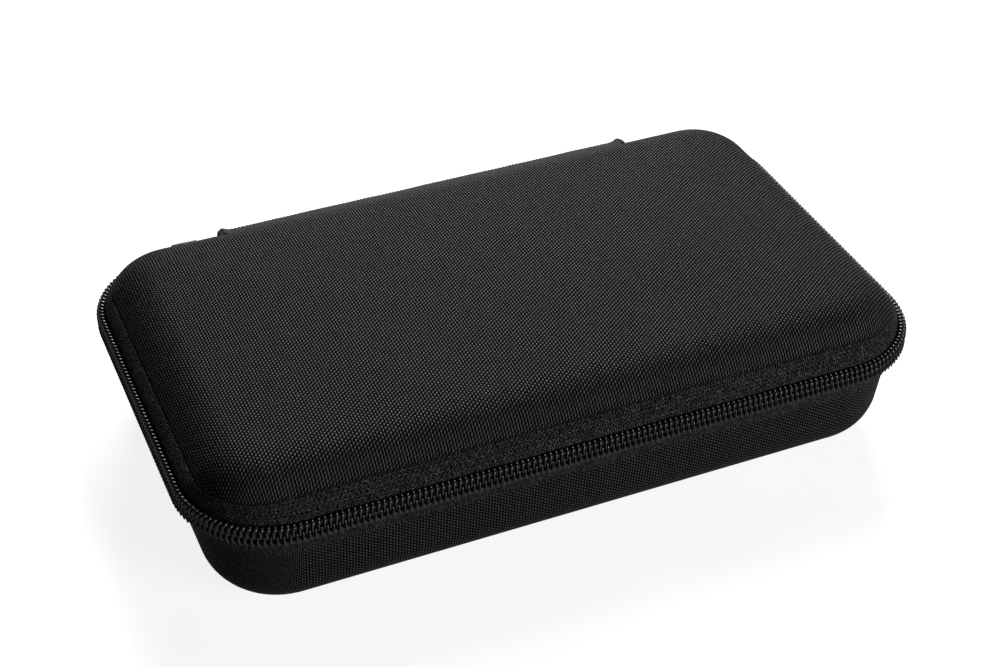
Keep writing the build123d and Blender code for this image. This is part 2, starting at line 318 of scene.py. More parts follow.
def add_block(bm, low, high, rounding, segments=3):
    """Add a box between two corners with all its edges rounded."""
    low, high = Vector(low), Vector(high)
    size = high - low
    place = Matrix.Translation((low + high) / 2) @ Matrix.Diagonal((*size, 1))
    verts = bmesh.ops.create_cube(bm, size=1.0, matrix=place)["verts"]
    edges = {edge for vert in verts for edge in vert.link_edges}
    bmesh.ops.bevel(
        bm, geom=list(edges), offset=rounding, segments=segments, profile=0.5,
        affect="EDGES", material=-1, clamp_overlap=True,
    )


def add_stitch(bm, middle, along, away, length, thickness):
    """Add one stitch: a short plump strand."""
    across = along.cross(away)
    axes = (along * length / 2, across * thickness / 2, away * thickness / 2)
    place = Matrix.Translation(middle) @ Matrix(axes).transposed().to_4x4()
    bmesh.ops.create_uvsphere(bm, u_segments=6, v_segments=5, radius=1.0, matrix=place)


def piece(bm, name, material, body=None, nodes=(), sharp=radians(50)):
    """Turn a bmesh into a finished piece that rides on a body and stands for CAD nodes."""
    bmesh.ops.recalc_face_normals(bm, faces=bm.faces)
    mesh = bpy.data.meshes.new(name)
    for face in bm.faces:
        face.smooth = True
    bm.to_mesh(mesh)
    bm.free()
    mesh.set_sharp_from_angle(angle=sharp)
    mesh.materials.append(material)
    made = bpy.data.objects.new(name, mesh)
    bpy.context.scene.collection.objects.link(made)
    if body:
        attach(made, body)
    if nodes:
        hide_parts(*nodes)
    return made


# ================================================================ node trees
class Wiring:
    """Adds nodes to one tree and joins them."""

    def __init__(self, tree):
        self.tree = tree

    def add(self, kind, inputs=(), **settings):
        """New node with settings, and inputs by name or number."""
        made = self.tree.nodes.new(kind)
        for name, value in settings.items():
            setattr(made, name, value)
        for name, value in dict(inputs).items():
            self.feed(made.inputs[name], value)
        return made

    def feed(self, socket, value):
        """Set or link a socket."""
        if isinstance(value, bpy.types.NodeSocket):
            self.tree.links.new(value, socket)
        elif isinstance(value, tuple) and len(value) == 3 and socket.type == "RGBA":
            socket.default_value = (*value, 1.0)
        else:
            socket.default_value = value

    def math(self, operation, first, second=0.0, third=0.0):
        """Result of one sum."""
        made = self.add("ShaderNodeMath", operation=operation)
        for socket, value in zip(made.inputs, (first, second, third)):
            self.feed(socket, value)
        return made.outputs[0]

    def times(self, *values):
        """Product of several values."""
        total = values[0]
        for value in values[1:]:
            total = self.math("MULTIPLY", total, value)
        return total

    def chain(self, value, *steps):
        """Pass a value through one sum after another."""
        for operation, other in steps:
            value = self.math(operation, value, other)
        return value

    def wave(self, run, pitch):
        """Sine that repeats at a pitch."""
        return self.math("SINE", self.times(run, 2 * pi / pitch))

    def ramp(self, value, low, high, start=0.0, end=1.0):
        """Smooth step of a value from low to high."""
        ends = {"Value": value, "From Min": low, "From Max": high, "To Min": start, "To Max": end}
        return self.add("ShaderNodeMapRange", ends, interpolation_type="SMOOTHSTEP").outputs[0]

    def tint(self, share, first, second, blend="MIX"):
        """Mix of two colours."""
        made = self.add("ShaderNodeMix", data_type="RGBA", blend_type=blend)
        for index, value in ((0, share), (6, first), (7, second)):
            self.feed(made.inputs[index], value)
        return made.outputs[2]

    def lit(self, colour, light):
        """A property's colour made lighter or darker by a value."""
        return self.tint(1.0, tuple(colour), self.vector(light, light, light), "MULTIPLY")

    def noise(self, vector, scale, detail=2.0, roughness=0.5):
        """Smooth noise round 0.5."""
        feeds = {"Vector": vector, "Scale": scale, "Detail": detail, "Roughness": roughness}
        return self.add("ShaderNodeTexNoise", feeds).outputs[0]

    def chance(self, cell):
        """A random value for each cell."""
        return self.add("ShaderNodeTexWhiteNoise", {"Vector": cell}).outputs[0]

    def parts(self, vector):
        """X, Y and Z of a vector."""
        return self.add("ShaderNodeSeparateXYZ", {0: vector}).outputs

    def vector(self, x, y, z=0.0):
        """Vector of three values."""
        return self.add("ShaderNodeCombineXYZ", {0: x, 1: y, 2: z}).outputs[0]

    def group(self, tree, **inputs):
        """Place a node group, with its inputs by name."""
        made = self.add("ShaderNodeGroup", node_tree=tree)
        for name, value in inputs.items():
            self.feed(made.inputs[name.replace("_", " ")], value)
        return made.outputs


def new_group(name, inputs, outputs):
    """Empty node group with its sockets, its wiring, and its two end nodes."""
    tree = bpy.data.node_groups.new(name, "ShaderNodeTree")
    kinds = {"v": "NodeSocketVector", "f": "NodeSocketFloat", "c": "NodeSocketColor"}
    for label, kind in inputs:
        tree.interface.new_socket(label, in_out="INPUT", socket_type=kinds[kind])
    for label, kind in outputs:
        tree.interface.new_socket(label, in_out="OUTPUT", socket_type=kinds[kind])
    wire = Wiring(tree)
    return tree, wire, wire.add("NodeGroupInput").outputs, wire.add("NodeGroupOutput").inputs


def plain_weave():
    """Crossing yarns, one over one: height, the crowns of the raised floats where a highlight is
    painted, the mix for painted shade between the yarns, and each crossing's random tone.

    Bend is 1 where the cloth turns along its floats, which then close up into ribs."""
    tree, w, given, out = new_group(
        "Plain Weave",
        [("Vector", "v"), ("Yarn Pitch", "f"), ("Pick Pitch", "f"), ("Twist", "f"), ("Bend", "f")],
        [("Height", "f"), ("Float", "f"), ("Under", "f"), ("Shade", "f"), ("Strand", "f")],
    )
    x, y, _ = w.parts(given["Vector"])
    u = w.math("DIVIDE", x, given["Yarn Pitch"])
    v = w.math("DIVIDE", y, given["Pick Pitch"])
    yarn, pick = w.math("FLOOR", u), w.math("FLOOR", v)
    across = w.chain(w.math("SUBTRACT", u, yarn), ("SUBTRACT", 0.5))
    along = w.chain(w.math("SUBTRACT", v, pick), ("SUBTRACT", 0.5))
    odd = w.chain(w.math("ADD", yarn, pick), ("FLOORED_MODULO", 2.0))
    over = w.chain(odd, ("MULTIPLY", -2.0), ("ADD", 1.0))
    flat = w.math("SUBTRACT", 1.0, given["Bend"])

    def wave(run):
        """Rise and fall of a yarn along its run."""
        return w.times(w.math("COSINE", w.times(run, pi)), over)

    def crest(side):
        """Rounding of a yarn from side to side."""
        return w.chain(side, ("MULTIPLY", 2.0), ("POWER", 2.0), ("MULTIPLY", -0.7), ("ADD", 0.6))

    lift = w.math("MULTIPLY_ADD", w.math("SUBTRACT", wave(along), 1.0), flat, 1.0)
    warp = w.math("ADD", w.times(lift, 0.45), crest(across))
    weft = w.math("ADD", w.times(wave(across), -0.45), crest(along))
    weft = w.math("SUBTRACT", weft, w.math("MULTIPLY_ADD", given["Bend"], 0.5, 0.35))
    w.feed(out["Height"], w.math("MAXIMUM", warp, weft))
    twist = w.times(along, given["Twist"], flat)
    middle = w.math("ABSOLUTE", w.math("SUBTRACT", across, w.times(twist, over)))
    # Float: crowns of the raised floats, where the woven material paints its highlight colour
    narrow, risen = w.ramp(middle, 0.08, 0.35, 1.0, 0.0), w.ramp(lift, -0.8, 0.4)
    w.feed(out["Float"], w.times(narrow, risen))
    # painted shade: this mix turns the colour near black where the lower yarns sink between the
    # raised ones
    w.feed(out["Under"], w.ramp(weft, -0.1, 0.75))
    pair = w.math("FLOOR", w.math("ADD", w.times(v, 0.5), w.times(yarn, 0.5)))
    w.feed(out["Shade"], w.chance(w.vector(yarn, pair)))
    strands = w.vector(w.times(u, 7.0), w.times(v, 0.6), 1.0)
    w.feed(out["Strand"], w.noise(strands, 1.0, 1.0))
    return tree


def knit_ribs():
    """Short slanting stitches in columns that lean by turns left and right."""
    tree, w, given, out = new_group(
        "Knit Ribs",
        [("Vector", "v"), ("Column", "f"), ("Stitch", "f"), ("Slant", "f"), ("Wander", "f")],
        [("Height", "f"), ("Shade", "f")],
    )
    sway = w.add("ShaderNodeTexNoise", {"Vector": given["Vector"], "Scale": 1.1, "Detail": 1.0})
    moved = w.add("ShaderNodeVectorMath", {0: sway.outputs[1], 1: (0.5,) * 3}, operation="SUBTRACT")
    moved = w.add("ShaderNodeVectorMath", {0: moved.outputs[0]}, operation="SCALE")
    w.feed(moved.inputs["Scale"], given["Wander"])
    ends = {0: given["Vector"], 1: moved.outputs[0]}
    x, y, _ = w.parts(w.add("ShaderNodeVectorMath", ends, operation="ADD").outputs[0])
    u = w.math("DIVIDE", x, given["Column"])
    column = w.math("FLOOR", u)
    across = w.chain(w.math("SUBTRACT", u, column), ("SUBTRACT", 0.5))
    lean = w.chain(column, ("FLOORED_MODULO", 2.0), ("MULTIPLY", 2.0), ("SUBTRACT", 1.0))
    lean = w.times(lean, across, given["Slant"])
    v = w.math("ADD", w.math("DIVIDE", y, given["Stitch"]), lean)
    stitch = w.math("FLOOR", v)
    along = w.chain(w.math("SUBTRACT", v, stitch), ("SUBTRACT", 0.5))
    swell = (("MULTIPLY", 2.0), ("POWER", 2.0), ("MULTIPLY", -1.0), ("ADD", 1.0))
    wide, tall = w.chain(across, *swell), w.chain(along, *swell)
    w.feed(out["Height"], w.math("SQRT", w.math("MAXIMUM", w.times(wide, tall), 0.0)))
    w.feed(out["Shade"], w.chance(w.vector(column, stitch, 1.0)))
    return tree


def lint():
    """Sparse pale specks and a faint uneven bloom, in millimetres of object space."""
    tree, w, given, out = new_group(
        "Lint", [("Vector", "v"), ("Amount", "f")], [("Specks", "f"), ("Bloom", "f")]
    )
    cells = w.add("ShaderNodeTexVoronoi", {"Vector": given["Vector"], "Scale": 0.16})
    near = w.ramp(cells.outputs["Distance"], 0.03, 0.06, 1.0, 0.0)
    chance = w.parts(cells.outputs["Color"])[0]
    rare = w.math("LESS_THAN", chance, given["Amount"])
    w.feed(out["Specks"], w.times(near, rare))
    w.feed(out["Bloom"], w.noise(given["Vector"], 0.045, 4.0, 0.6))
    return tree


def shared_group(make):
    """The node group that a function makes, made once."""
    name = make.__name__.replace("_", " ").title()
    return bpy.data.node_groups.get(name) or make()


def new_material(name, **constants):
    """Material with a Principled shader, its constants set, and its wiring."""
    material = bpy.data.materials.new(name)
    material.use_nodes = True
    shader = material.node_tree.nodes["Principled BSDF"]
    for label, value in constants.items():
        shader.inputs[label.replace("_", " ")].default_value = value
    return material, Wiring(material.node_tree), shader


def coordinates(w):
    """The piece's weave coordinates, and its place in millimetres."""
    marks = w.add("ShaderNodeUVMap", uv_map="Weave").outputs[0]
    return marks, body_space(w)


def body_space(w):
    """The piece's place in millimetres."""
    place = w.add("ShaderNodeTexCoord").outputs["Object"]
    scaled = w.add("ShaderNodeVectorMath", {0: place}, operation="SCALE")
    scaled.inputs["Scale"].default_value = 1 / MM
    return scaled.outputs[0]


def bump(w, shader, height, depth):
    """Raise the surface by a height pattern of a depth in metres."""
    made = w.add("ShaderNodeBump", {"Height": height, "Distance": depth})
    w.feed(shader.inputs["Normal"], made.outputs[0])


def linted(w, place, base, amount, pale):
    """A colour with specks of a pale grey on it."""
    specks = w.group(shared_group(lint), Vector=place, Amount=amount)
    return w.tint(specks["Specks"], base, grey(pale))


def grey(value):
    """Neutral colour."""
    return (value, value, value)


# ================================================================ sizes and colours
def number(name, description, default, **settings):
    """Number property."""
    return bpy.props.FloatProperty(
        name=name, description=description, default=default, **settings
    )


def size(name, description, default):
    """Length property."""
    return number(name, description, default, unit="LENGTH", precision=5)


def colour(name, description, default):
    """Colour property."""
    return bpy.props.FloatVectorProperty(
        name=name, description=description, default=default, subtype="COLOR", min=0, max=1
    )


class CaseFabric(bpy.types.PropertyGroup):
    """Woven face of both shells"""

    yarn_pitch: size("Yarn Pitch", "Spacing of the yarns that run front to back", 0.907 * MM)
    pick_pitch: size("Pick Pitch", "Spacing of the yarns that run along the case", 0.635 * MM)
    relief: size("Relief", "Height of a yarn's crown over the hollows", 0.2 * MM)
    # painted highlight: the lit colour of the floats' crowns, far lighter than the same yarn
    # elsewhere
    warp: colour("Warp", "Colour of the raised yarns", (0.104, 0.0968, 0.1092))
    weft: colour("Weft", "Colour of the lower yarns", (0.0115, 0.0106, 0.0132))
    # painted shade: the near-black colour painted between the yarns
    hollow: colour("Hollow", "Colour between the yarns", (0.0036, 0.0033, 0.0048))


class CaseZip(bpy.types.PropertyGroup):
    """Coil zip and its tapes"""

    loop_pitch: size("Loop Pitch", "Spacing of the loops in one row", 1.705 * MM)
    wire: size("Wire", "Thickness of the nylon wire", 0.64 * MM)
    cord: size("Cord", "Thickness of the cord inside the loops", 1.45 * MM)
    lower_reach: size("Lower Reach", "How far the lower heads pass the closing plane", 1.2 * MM)
    upper_reach: size("Upper Reach", "How far the upper heads pass that plane", 0.3 * MM)
    coil: colour("Coil", "Colour of the nylon wire", (0.0095, 0.0092, 0.0104))
    tape: colour("Tape", "Colour of the knitted tape", (0.062, 0.0595, 0.066))


class CaseTrim(bpy.types.PropertyGroup):
    """Hinge strip, threads, slider and pull"""

    overlock_pitch: size("Overlock Pitch", "Spacing of the turns round the strip's edge", 1.27 * MM)
    thread: size("Thread", "Thickness of the sewing thread", 0.42 * MM)
    stitch_pitch: size("Stitch Pitch", "Spacing of the stitches in a seam", 3.6 * MM)
    webbing: colour("Webbing", "Colour of the hinge strip", (0.028, 0.0274, 0.0286))
    thread_colour: colour("Thread Colour", "Colour of the sewing thread", (0.08, 0.076, 0.082))
    metal: colour("Enamel", "Colour of the enamelled slider", (0.0123, 0.0123, 0.0134))
    rubber: colour("Rubber", "Colour of the pull's grip", (0.0196, 0.0196, 0.0202))


class CaseInside(bpy.types.PropertyGroup):
    """Linings, net pocket and foam insert"""

    net_pitch: size("Net Pitch", "Width of one hole and its strand", 2.3 * MM)
    strand: size("Net Strand", "Width of the net's strands", 0.62 * MM)
    foam_round: size("Foam Edge", "Rounding of the insert's edges", 0.9 * MM)
    lining: colour("Lining", "Colour of the brushed lining", (0.0336, 0.0336, 0.037))
    binding: colour("Binding", "Colour of the ribbed binding", (0.0224, 0.0224, 0.0235))
    foam: colour("Foam", "Colour of the insert", (0.028, 0.028, 0.0297))
    net: colour("Net", "Colour of the pocket's net", (0.028, 0.028, 0.0297))


class CaseStage(bpy.types.PropertyGroup):
    """Floor, lights and camera"""

    key: number("Key Light", "Power of the light behind", 17.5, unit="POWER")
    fill: number("Fill Light", "Power of the light in front", 10.0, unit="POWER")
    glint: number("Glint Light", "Power of the small light overhead", 3.7, unit="POWER")
    room: number(
        "Room Light", "Strength of the even light all round", 0.022, subtype="FACTOR", min=0, max=1
    )
    azimuth: number(
        "Azimuth", "Camera's turn from straight ahead", radians(-23.064), unit="ROTATION"
    )
    elevation: number("Elevation", "Camera's rise over the floor", radians(37.190), unit="ROTATION")
    distance: size("Distance", "Camera to the point it looks at", 591 * MM)


# ================================================================ finishes
def woven_nylon(name, fabric):
    """Coarse woven face of the shells, with a painted highlight on the crowns of the floats and
    painted shade between the yarns.
    """
    material, w, shader = new_material(name, Roughness=0.5)
    marks, place = coordinates(w)
    bend = w.add("ShaderNodeAttribute", attribute_name="Bend").outputs["Fac"]
    weave = w.group(
        shared_group(plain_weave), Vector=marks, Yarn_Pitch=fabric.yarn_pitch / MM,
        Pick_Pitch=fabric.pick_pitch / MM, Twist=0.28, Bend=bend,
    )
    specks = w.group(shared_group(lint), Vector=place, Amount=0.05)
    light = w.times(
        w.chain(weave["Shade"], ("MULTIPLY", 0.45), ("ADD", 0.7)),
        w.ramp(weave["Strand"], 0.25, 0.75, 0.8, 1.15),
        w.ramp(specks["Bloom"], 0.3, 0.7, 0.92, 1.08),
    )
    # painted shade: near black where the lower yarns sink between the floats
    below = w.tint(weave["Under"], tuple(fabric.hollow), tuple(fabric.weft))
    # painted highlight: the crown colour is mixed in on the float crowns
    cloth = w.tint(weave["Float"], below, w.lit(fabric.warp, light))
    w.feed(shader.inputs["Base Color"], w.tint(specks["Specks"], cloth, grey(0.17)))
    w.feed(shader.inputs["Specular IOR Level"], w.ramp(weave["Float"], 0.0, 1.0, 0.01, 0.22))
    ridges = w.math("ADD", weave["Height"], w.times(weave["Strand"], 0.12))
    bump(w, shader, ridges, fabric.relief)
    return material


def knitted_tape(name, zip_sizes):
    """Zip tape: a fine uneven knit, painted near black between the stitches as painted shade."""
    material, w, shader = new_material(name, Roughness=0.65)
    marks, place = coordinates(w)
    knit = w.group(
        shared_group(knit_ribs), Vector=marks, Column=0.75, Stitch=1.1, Slant=0.9, Wander=1.0
    )
    light = w.chain(knit["Shade"], ("MULTIPLY", 1.1), ("ADD", 0.5))
    light = w.times(light, w.ramp(w.noise(place, 1.7, 3.0, 0.7), 0.35, 0.65, 0.6, 1.5))
    # painted shade: the low parts of the stitches are mixed towards near black
    recess_shading = w.ramp(knit["Height"], 0.42, 0.95)
    cloth = w.tint(recess_shading, grey(0.0018), w.lit(zip_sizes.tape, light))
    w.feed(shader.inputs["Base Color"], linted(w, place, cloth, 0.03, 0.07))
    w.feed(shader.inputs["Specular IOR Level"], w.ramp(recess_shading, 0.0, 1.0, 0.01, 0.25))
    fuzz = w.noise(place, 5.0, 2.0)
    bump(w, shader, w.math("ADD", knit["Height"], w.times(fuzz, 0.5)), 0.2 * MM)
    return material


def coil_nylon(name, zip_sizes):
    """Slightly shiny monofilament."""
    material, w, shader = new_material(name, IOR=1.9)
    place = body_space(w)
    scuff = w.noise(place, 1.3, 3.0, 0.6)
    tone = w.ramp(scuff, 0.3, 0.7, 0.8, 1.25)
    w.feed(shader.inputs["Base Color"], w.lit(zip_sizes.coil, tone))
    w.feed(shader.inputs["Roughness"], w.ramp(scuff, 0.35, 0.75, 0.26, 0.38))
    bump(w, shader, w.noise(place, 3.0, 1.0), 0.004 * MM)
    return material


def filler_cord(name, _):
    """Dull spun cord that the loops are wound on."""
    material, w, shader = new_material(name, Roughness=0.95, Specular_IOR_Level=0.05)
    fluff = w.ramp(w.noise(body_space(w), 2.5, 3.0), 0.3, 0.7, 0.5, 1.5)
    w.feed(shader.inputs["Base Color"], w.lit(grey(0.07), fluff))
    return material


def brushed_lining(name, inside):
    """Short-napped lining."""
    material, w, shader = new_material(
        name, Roughness=0.9, Specular_IOR_Level=0.2, Sheen_Weight=0.12
    )
    place = body_space(w)
    nap = w.noise(place, 3.2, 3.0, 0.65)
    patch = w.noise(place, 0.09, 3.0, 0.6)
    light = w.times(w.ramp(nap, 0.25, 0.75, 0.55, 1.4), w.ramp(patch, 0.3, 0.7, 0.85, 1.15))
    base = w.lit(inside.lining, light)
    w.feed(shader.inputs["Base Color"], linted(w, place, base, 0.08, 0.12))
    bump(w, shader, nap, 0.18 * MM)
    return material


def ribbed_binding(name, inside):
    """Binding tape with fine cross ribs, painted darker in the troughs between the ribs as painted
    shade.
    """
    material, w, shader = new_material(
        name, Roughness=0.75, Specular_IOR_Level=0.25, Sheen_Weight=0.03
    )
    marks, place = coordinates(w)
    along, across, _ = w.parts(marks)
    rib_pitch, thread_pitch = 0.9, 0.35  # millimetres
    rib = w.chain(w.wave(along, rib_pitch), ("MULTIPLY", 0.5), ("ADD", 0.5))
    height = w.math("ADD", rib, w.times(w.wave(across, thread_pitch), 0.12))
    grain = w.ramp(w.noise(place, 2.5, 2.0), 0.3, 0.7, 0.8, 1.2)
    # painted shade: the colour darkens in the rib troughs
    light = w.times(w.ramp(rib, 0.0, 1.0, 0.45, 1.2), grain)
    w.feed(shader.inputs["Base Color"], w.lit(inside.binding, light))
    bump(w, shader, height, 0.12 * MM)
    return material


def sewn_thread(name, trim):
    """Twisted, bonded thread, painted darker in the grooves between its plies as painted shade."""
    material, w, shader = new_material(name, Roughness=0.55, Specular_IOR_Level=0.3)
    place = body_space(w)
    x, y, z = w.parts(place)
    lean = w.math("ADD", w.math("ADD", x, y), w.times(z, 1.7))
    ply_pitch = 0.35  # millimetres
    twist = w.chain(w.wave(lean, ply_pitch), ("MULTIPLY", 0.5), ("ADD", 0.5))
    wear = w.ramp(w.noise(place, 1.5), 0.3, 0.7, 0.8, 1.2)
    # painted shade: the colour darkens in the grooves between plies
    light = w.times(w.ramp(twist, 0.0, 1.0, 0.6, 1.2), wear)
    w.feed(shader.inputs["Base Color"], w.lit(trim.thread_colour, light))
    bump(w, shader, twist, 0.05 * MM)
    return material


def herringbone_webbing(name, trim):
    """Hinge webbing: narrow herringbone, painted near black between the stitches as painted shade.
    """
    material, w, shader = new_material(
        name, Roughness=0.65, Specular_IOR_Level=0.25, Sheen_Weight=0.02
    )
    marks, place = coordinates(w)
    knit = w.group(
        shared_group(knit_ribs), Vector=marks, Column=0.9, Stitch=0.5, Slant=1.6, Wander=0.12
    )
    light = w.chain(knit["Shade"], ("MULTIPLY", 0.4), ("ADD", 0.7))
    # painted shade: the low parts of the stitches are mixed towards near black
    recess_shading = w.ramp(knit["Height"], 0.0, 0.8)
    cloth = w.tint(recess_shading, grey(0.003), w.lit(trim.webbing, light))
    w.feed(shader.inputs["Base Color"], linted(w, place, cloth, 0.06, 0.14))
    bump(w, shader, knit["Height"], 0.14 * MM)
    return material


def worn_enamel(name, trim):
    """Black enamel over zinc, rubbed thin in scattered patches."""
    material, w, shader = new_material(name, Coat_Weight=0.3, Coat_Roughness=0.12)
    place = body_space(w)
    rub = w.noise(place, 1.1, 5.0, 0.7)
    bare = w.ramp(rub, 0.66, 0.74)
    w.feed(shader.inputs["Base Color"], w.tint(bare, tuple(trim.metal), grey(0.2)))
    w.feed(shader.inputs["Metallic"], w.times(bare, 0.9))
    w.feed(shader.inputs["Roughness"], w.ramp(rub, 0.3, 0.7, 0.28, 0.45))
    bump(w, shader, w.noise(place, 3.0, 2.0), 0.02 * MM)
    return material


def soft_rubber(name, trim):
    """Matt moulded rubber."""
    material, w, shader = new_material(name, IOR=1.5)
    place = body_space(w)
    grain = w.noise(place, 7.0, 2.0)
    tone = w.ramp(w.noise(place, 0.6, 3.0), 0.3, 0.7, 0.85, 1.2)
    w.feed(shader.inputs["Base Color"], w.lit(trim.rubber, tone))
    w.feed(shader.inputs["Roughness"], w.ramp(grain, 0.3, 0.7, 0.5, 0.7))
    bump(w, shader, grain, 0.03 * MM)
    return material


def closed_foam(name, inside):
    """Fine-celled foam, pitted with small open cells that are painted darker as painted shade."""
    material, w, shader = new_material(name, Roughness=0.85, Specular_IOR_Level=0.25)
    place = body_space(w)
    cells = w.add("ShaderNodeTexVoronoi", {"Vector": place, "Scale": 1.9}).outputs["Distance"]
    pits = w.ramp(cells, 0.12, 0.5)
    patch = w.ramp(w.noise(place, 0.12, 3.0), 0.3, 0.7, 0.88, 1.12)
    # painted shade: the colour darkens inside the pits
    base = w.lit(inside.foam, w.times(w.ramp(pits, 0.0, 1.0, 0.55, 1.1), patch))
    w.feed(shader.inputs["Base Color"], linted(w, place, base, 0.06, 0.11))
    bump(w, shader, pits, 0.12 * MM)
    return material


def knitted_net(name, inside):
    """Polyester net strands."""
    material, w, shader = new_material(name, Roughness=0.6, Specular_IOR_Level=0.3)
    place = body_space(w)
    strand = w.noise(place, 4.0, 2.0)
    w.feed(shader.inputs["Base Color"], w.lit(inside.net, w.ramp(strand, 0.3, 0.7, 0.6, 1.3)))
    bump(w, shader, strand, 0.08 * MM)
    return material


def finish(make, sizes):
    """The material that a function makes, made once and named after it."""
    name = make.__name__.replace("_", " ")
    return bpy.data.materials.get(name) or make(name, sizes)


# ================================================================ shells
def run_of(places):
    """Distance from the first place to each place."""
    total, found = 0.0, [0.0]
    for first, second in zip(places, places[1:]):
        total += (second - first).length
        found.append(total)
    return found


SHOULDER_LEAN = sqrt(SHOULDER_RADIUS**2 - (CREASE_HEIGHT - SHOULDER_CENTRE) ** 2)


def on_dome(wall, height):
    """Outline at a height on the dome moved in by a wall."""
    reach = sqrt((SHOULDER_RADIUS - wall) ** 2 - (height - SHOULDER_CENTRE) ** 2)
    return crease(reach - SHOULDER_LEAN, height)


def on_tub(wall, height):
    """Outline at a height on the upright part of the base moved in by a wall."""
    return plan(TUB_INSET + wall + max(0.0, -BAND_HEIGHT - height) * tan(WALL_DRAFT), height)


def dome_face(wall, foot, arc_steps, crown_steps):
    """Outlines of the dome moved in by a wall, from a height up over the shoulder to the top."""
    radius = SHOULDER_RADIUS - wall
    start = asin((foot - SHOULDER_CENTRE) / radius)
    end = pi / 2 - CROWN_SLOPE
    found = []
    for step in range(arc_steps + 1):
        angle = start + (end - start) * step / arc_steps
        found.append(on_dome(wall, SHOULDER_CENTRE + radius * sin(angle)))
    edge = found[-1]
    rise = CROWN_HEIGHT - wall - edge.height
    for step in range(1, crown_steps + 1):
        share = 1 - (1 - step / crown_steps) ** 1.3
        found.append(shrunk(edge, share, edge.height + rise * (1 - (1 - share) ** 2)))
    return found, arc_steps


def tub_face(wall, top, arc_steps, floor_steps):
    """Outlines of the base moved in by a wall, from the top down the side and over the floor."""
    radius = TUB_RADIUS - wall
    floor_height = wall - CLOSING
    centre = floor_height + radius
    bend = CHAIN_HIGH.x - on_tub(wall, centre).length + radius / cos(WALL_DRAFT)
    found = [on_tub(wall, top)]
    if top > -BAND_HEIGHT:
        found.append(on_tub(wall, -BAND_HEIGHT))
    first = found[-1]
    for step in range(arc_steps + 1):
        angle = WALL_DRAFT + (pi / 2 - WALL_DRAFT) * step / arc_steps
        outline = plan(bend - radius * cos(angle), centre - radius * sin(angle))
        if step == 0:
            found += [between(first, outline, share) for share in (0.33, 0.66)]
        found.append(outline)
    edge = found[-1]
    found += [shrunk(edge, step / floor_steps, floor_height) for step in range(1, floor_steps + 1)]
    return found, len(found) - 1 - floor_steps


def cloth_marks(rows, edge):
    """Weave coordinates of cloth laid over a face: level with it inside the edge row, and
    following the surface out from there."""
    runs = [run_of([row[i] for row in reversed(rows[: edge + 1])]) for i in range(len(STATIONS))]
    found = []
    for index, row in enumerate(rows):
        marks = []
        for i, place in enumerate(row):
            flat = place
            if index < edge:
                flat = rows[edge][i] + outward(STATIONS[i]) * runs[i][edge - index]
            marks.append((flat.x / MM, flat.y / MM))
        found.append(marks)
    return found


MOST_BEND = 0.3  # 1 would close the floats right up into ribs


def bowl(outer, outer_edge, inner, inner_edge):
    """Closed skin of a shell from its outer and inner faces, each given from rim to middle.

    Bend marks the rounded long sides, where the cloth turns along its raised yarns."""
    outer_rows, inner_rows = rows_of(outer), rows_of(inner)
    rows = outer_rows[::-1] + inner_rows
    marks = cloth_marks(outer_rows, outer_edge)[::-1] + cloth_marks(inner_rows, inner_edge)
    bm = loft(rows, marks=marks, capped=True)
    bm.normal_update()
    layer = bm.verts.layers.float.new("Bend")
    for vert in bm.verts:
        x, y, z = (abs(part) for part in vert.normal)
        turning = clamp((0.85 - z) / 0.3, MOST_BEND) * clamp((z - 0.3) / 0.25)
        vert[layer] = turning * clamp((y - x) / 0.3)
    return bm


def build_lid_shell(scene):
    """Woven dome of the lid."""
    face, edge = dome_face(0, CREASE_HEIGHT, 16, 16)
    under = CREASE_HEIGHT - 1.3 * MM
    rim_bottom = CLOSING_GAP + BINDING
    foot = [
        plan(RIM_INSET, rim_bottom),
        plan(RIM_INSET, TAPE_BEND + 0.6 * MM),
        crease(-0.25 * MM, under),
        crease(-0.12 * MM, CREASE_HEIGHT - 0.5 * MM),
    ]
    inner, inner_edge = dome_face(SHELL_WALL - SLIVER, rim_bottom, 12, 8)
    bm = bowl(foot + face, edge + len(foot), inner, inner_edge)
    cloth = finish(woven_nylon, scene.case_fabric)
    piece(bm, "lid_dome", cloth, "lid", ["lid_shell"])


def build_base_shell(scene):
    """Woven tub of the base."""
    face, edge = tub_face(0, -TAPE_BEND - 1.0 * MM, 14, 12)
    rim = [plan(RIM_INSET, -CLOSING_GAP - BINDING), plan(RIM_INSET, -TAPE_BEND - 0.7 * MM)]
    inner, inner_edge = tub_face(SHELL_WALL - SLIVER, -CLOSING_GAP - BINDING, 8, 6)
    bm = bowl(rim + face, edge + len(rim), inner, inner_edge)
    cloth = finish(woven_nylon, scene.case_fabric)
    piece(bm, "base_tub", cloth, "base", ["base_shell"])


# ================================================================ bands that run round the case
def band(profile, name, material, body, nodes=(), cut=None, sharp=radians(60)):
    """Closed band with a closed profile of outlines, optionally with a stretch cut away."""
    rows = rows_of(profile)
    around = run_of(rows[0] + rows[0][:1])
    across = run_of([row[0] for row in rows] + [rows[0][0]])
    marks = [[(run / MM, across[k] / MM) for run in around[:-1]] for k in range(len(rows) + 1)]
    bm = loft(rows, marks=marks, closed=True, period=around[-1] / MM)
    if cut:
        keep_outside(bm, *cut)
    return piece(bm, name, material, body, nodes, sharp)


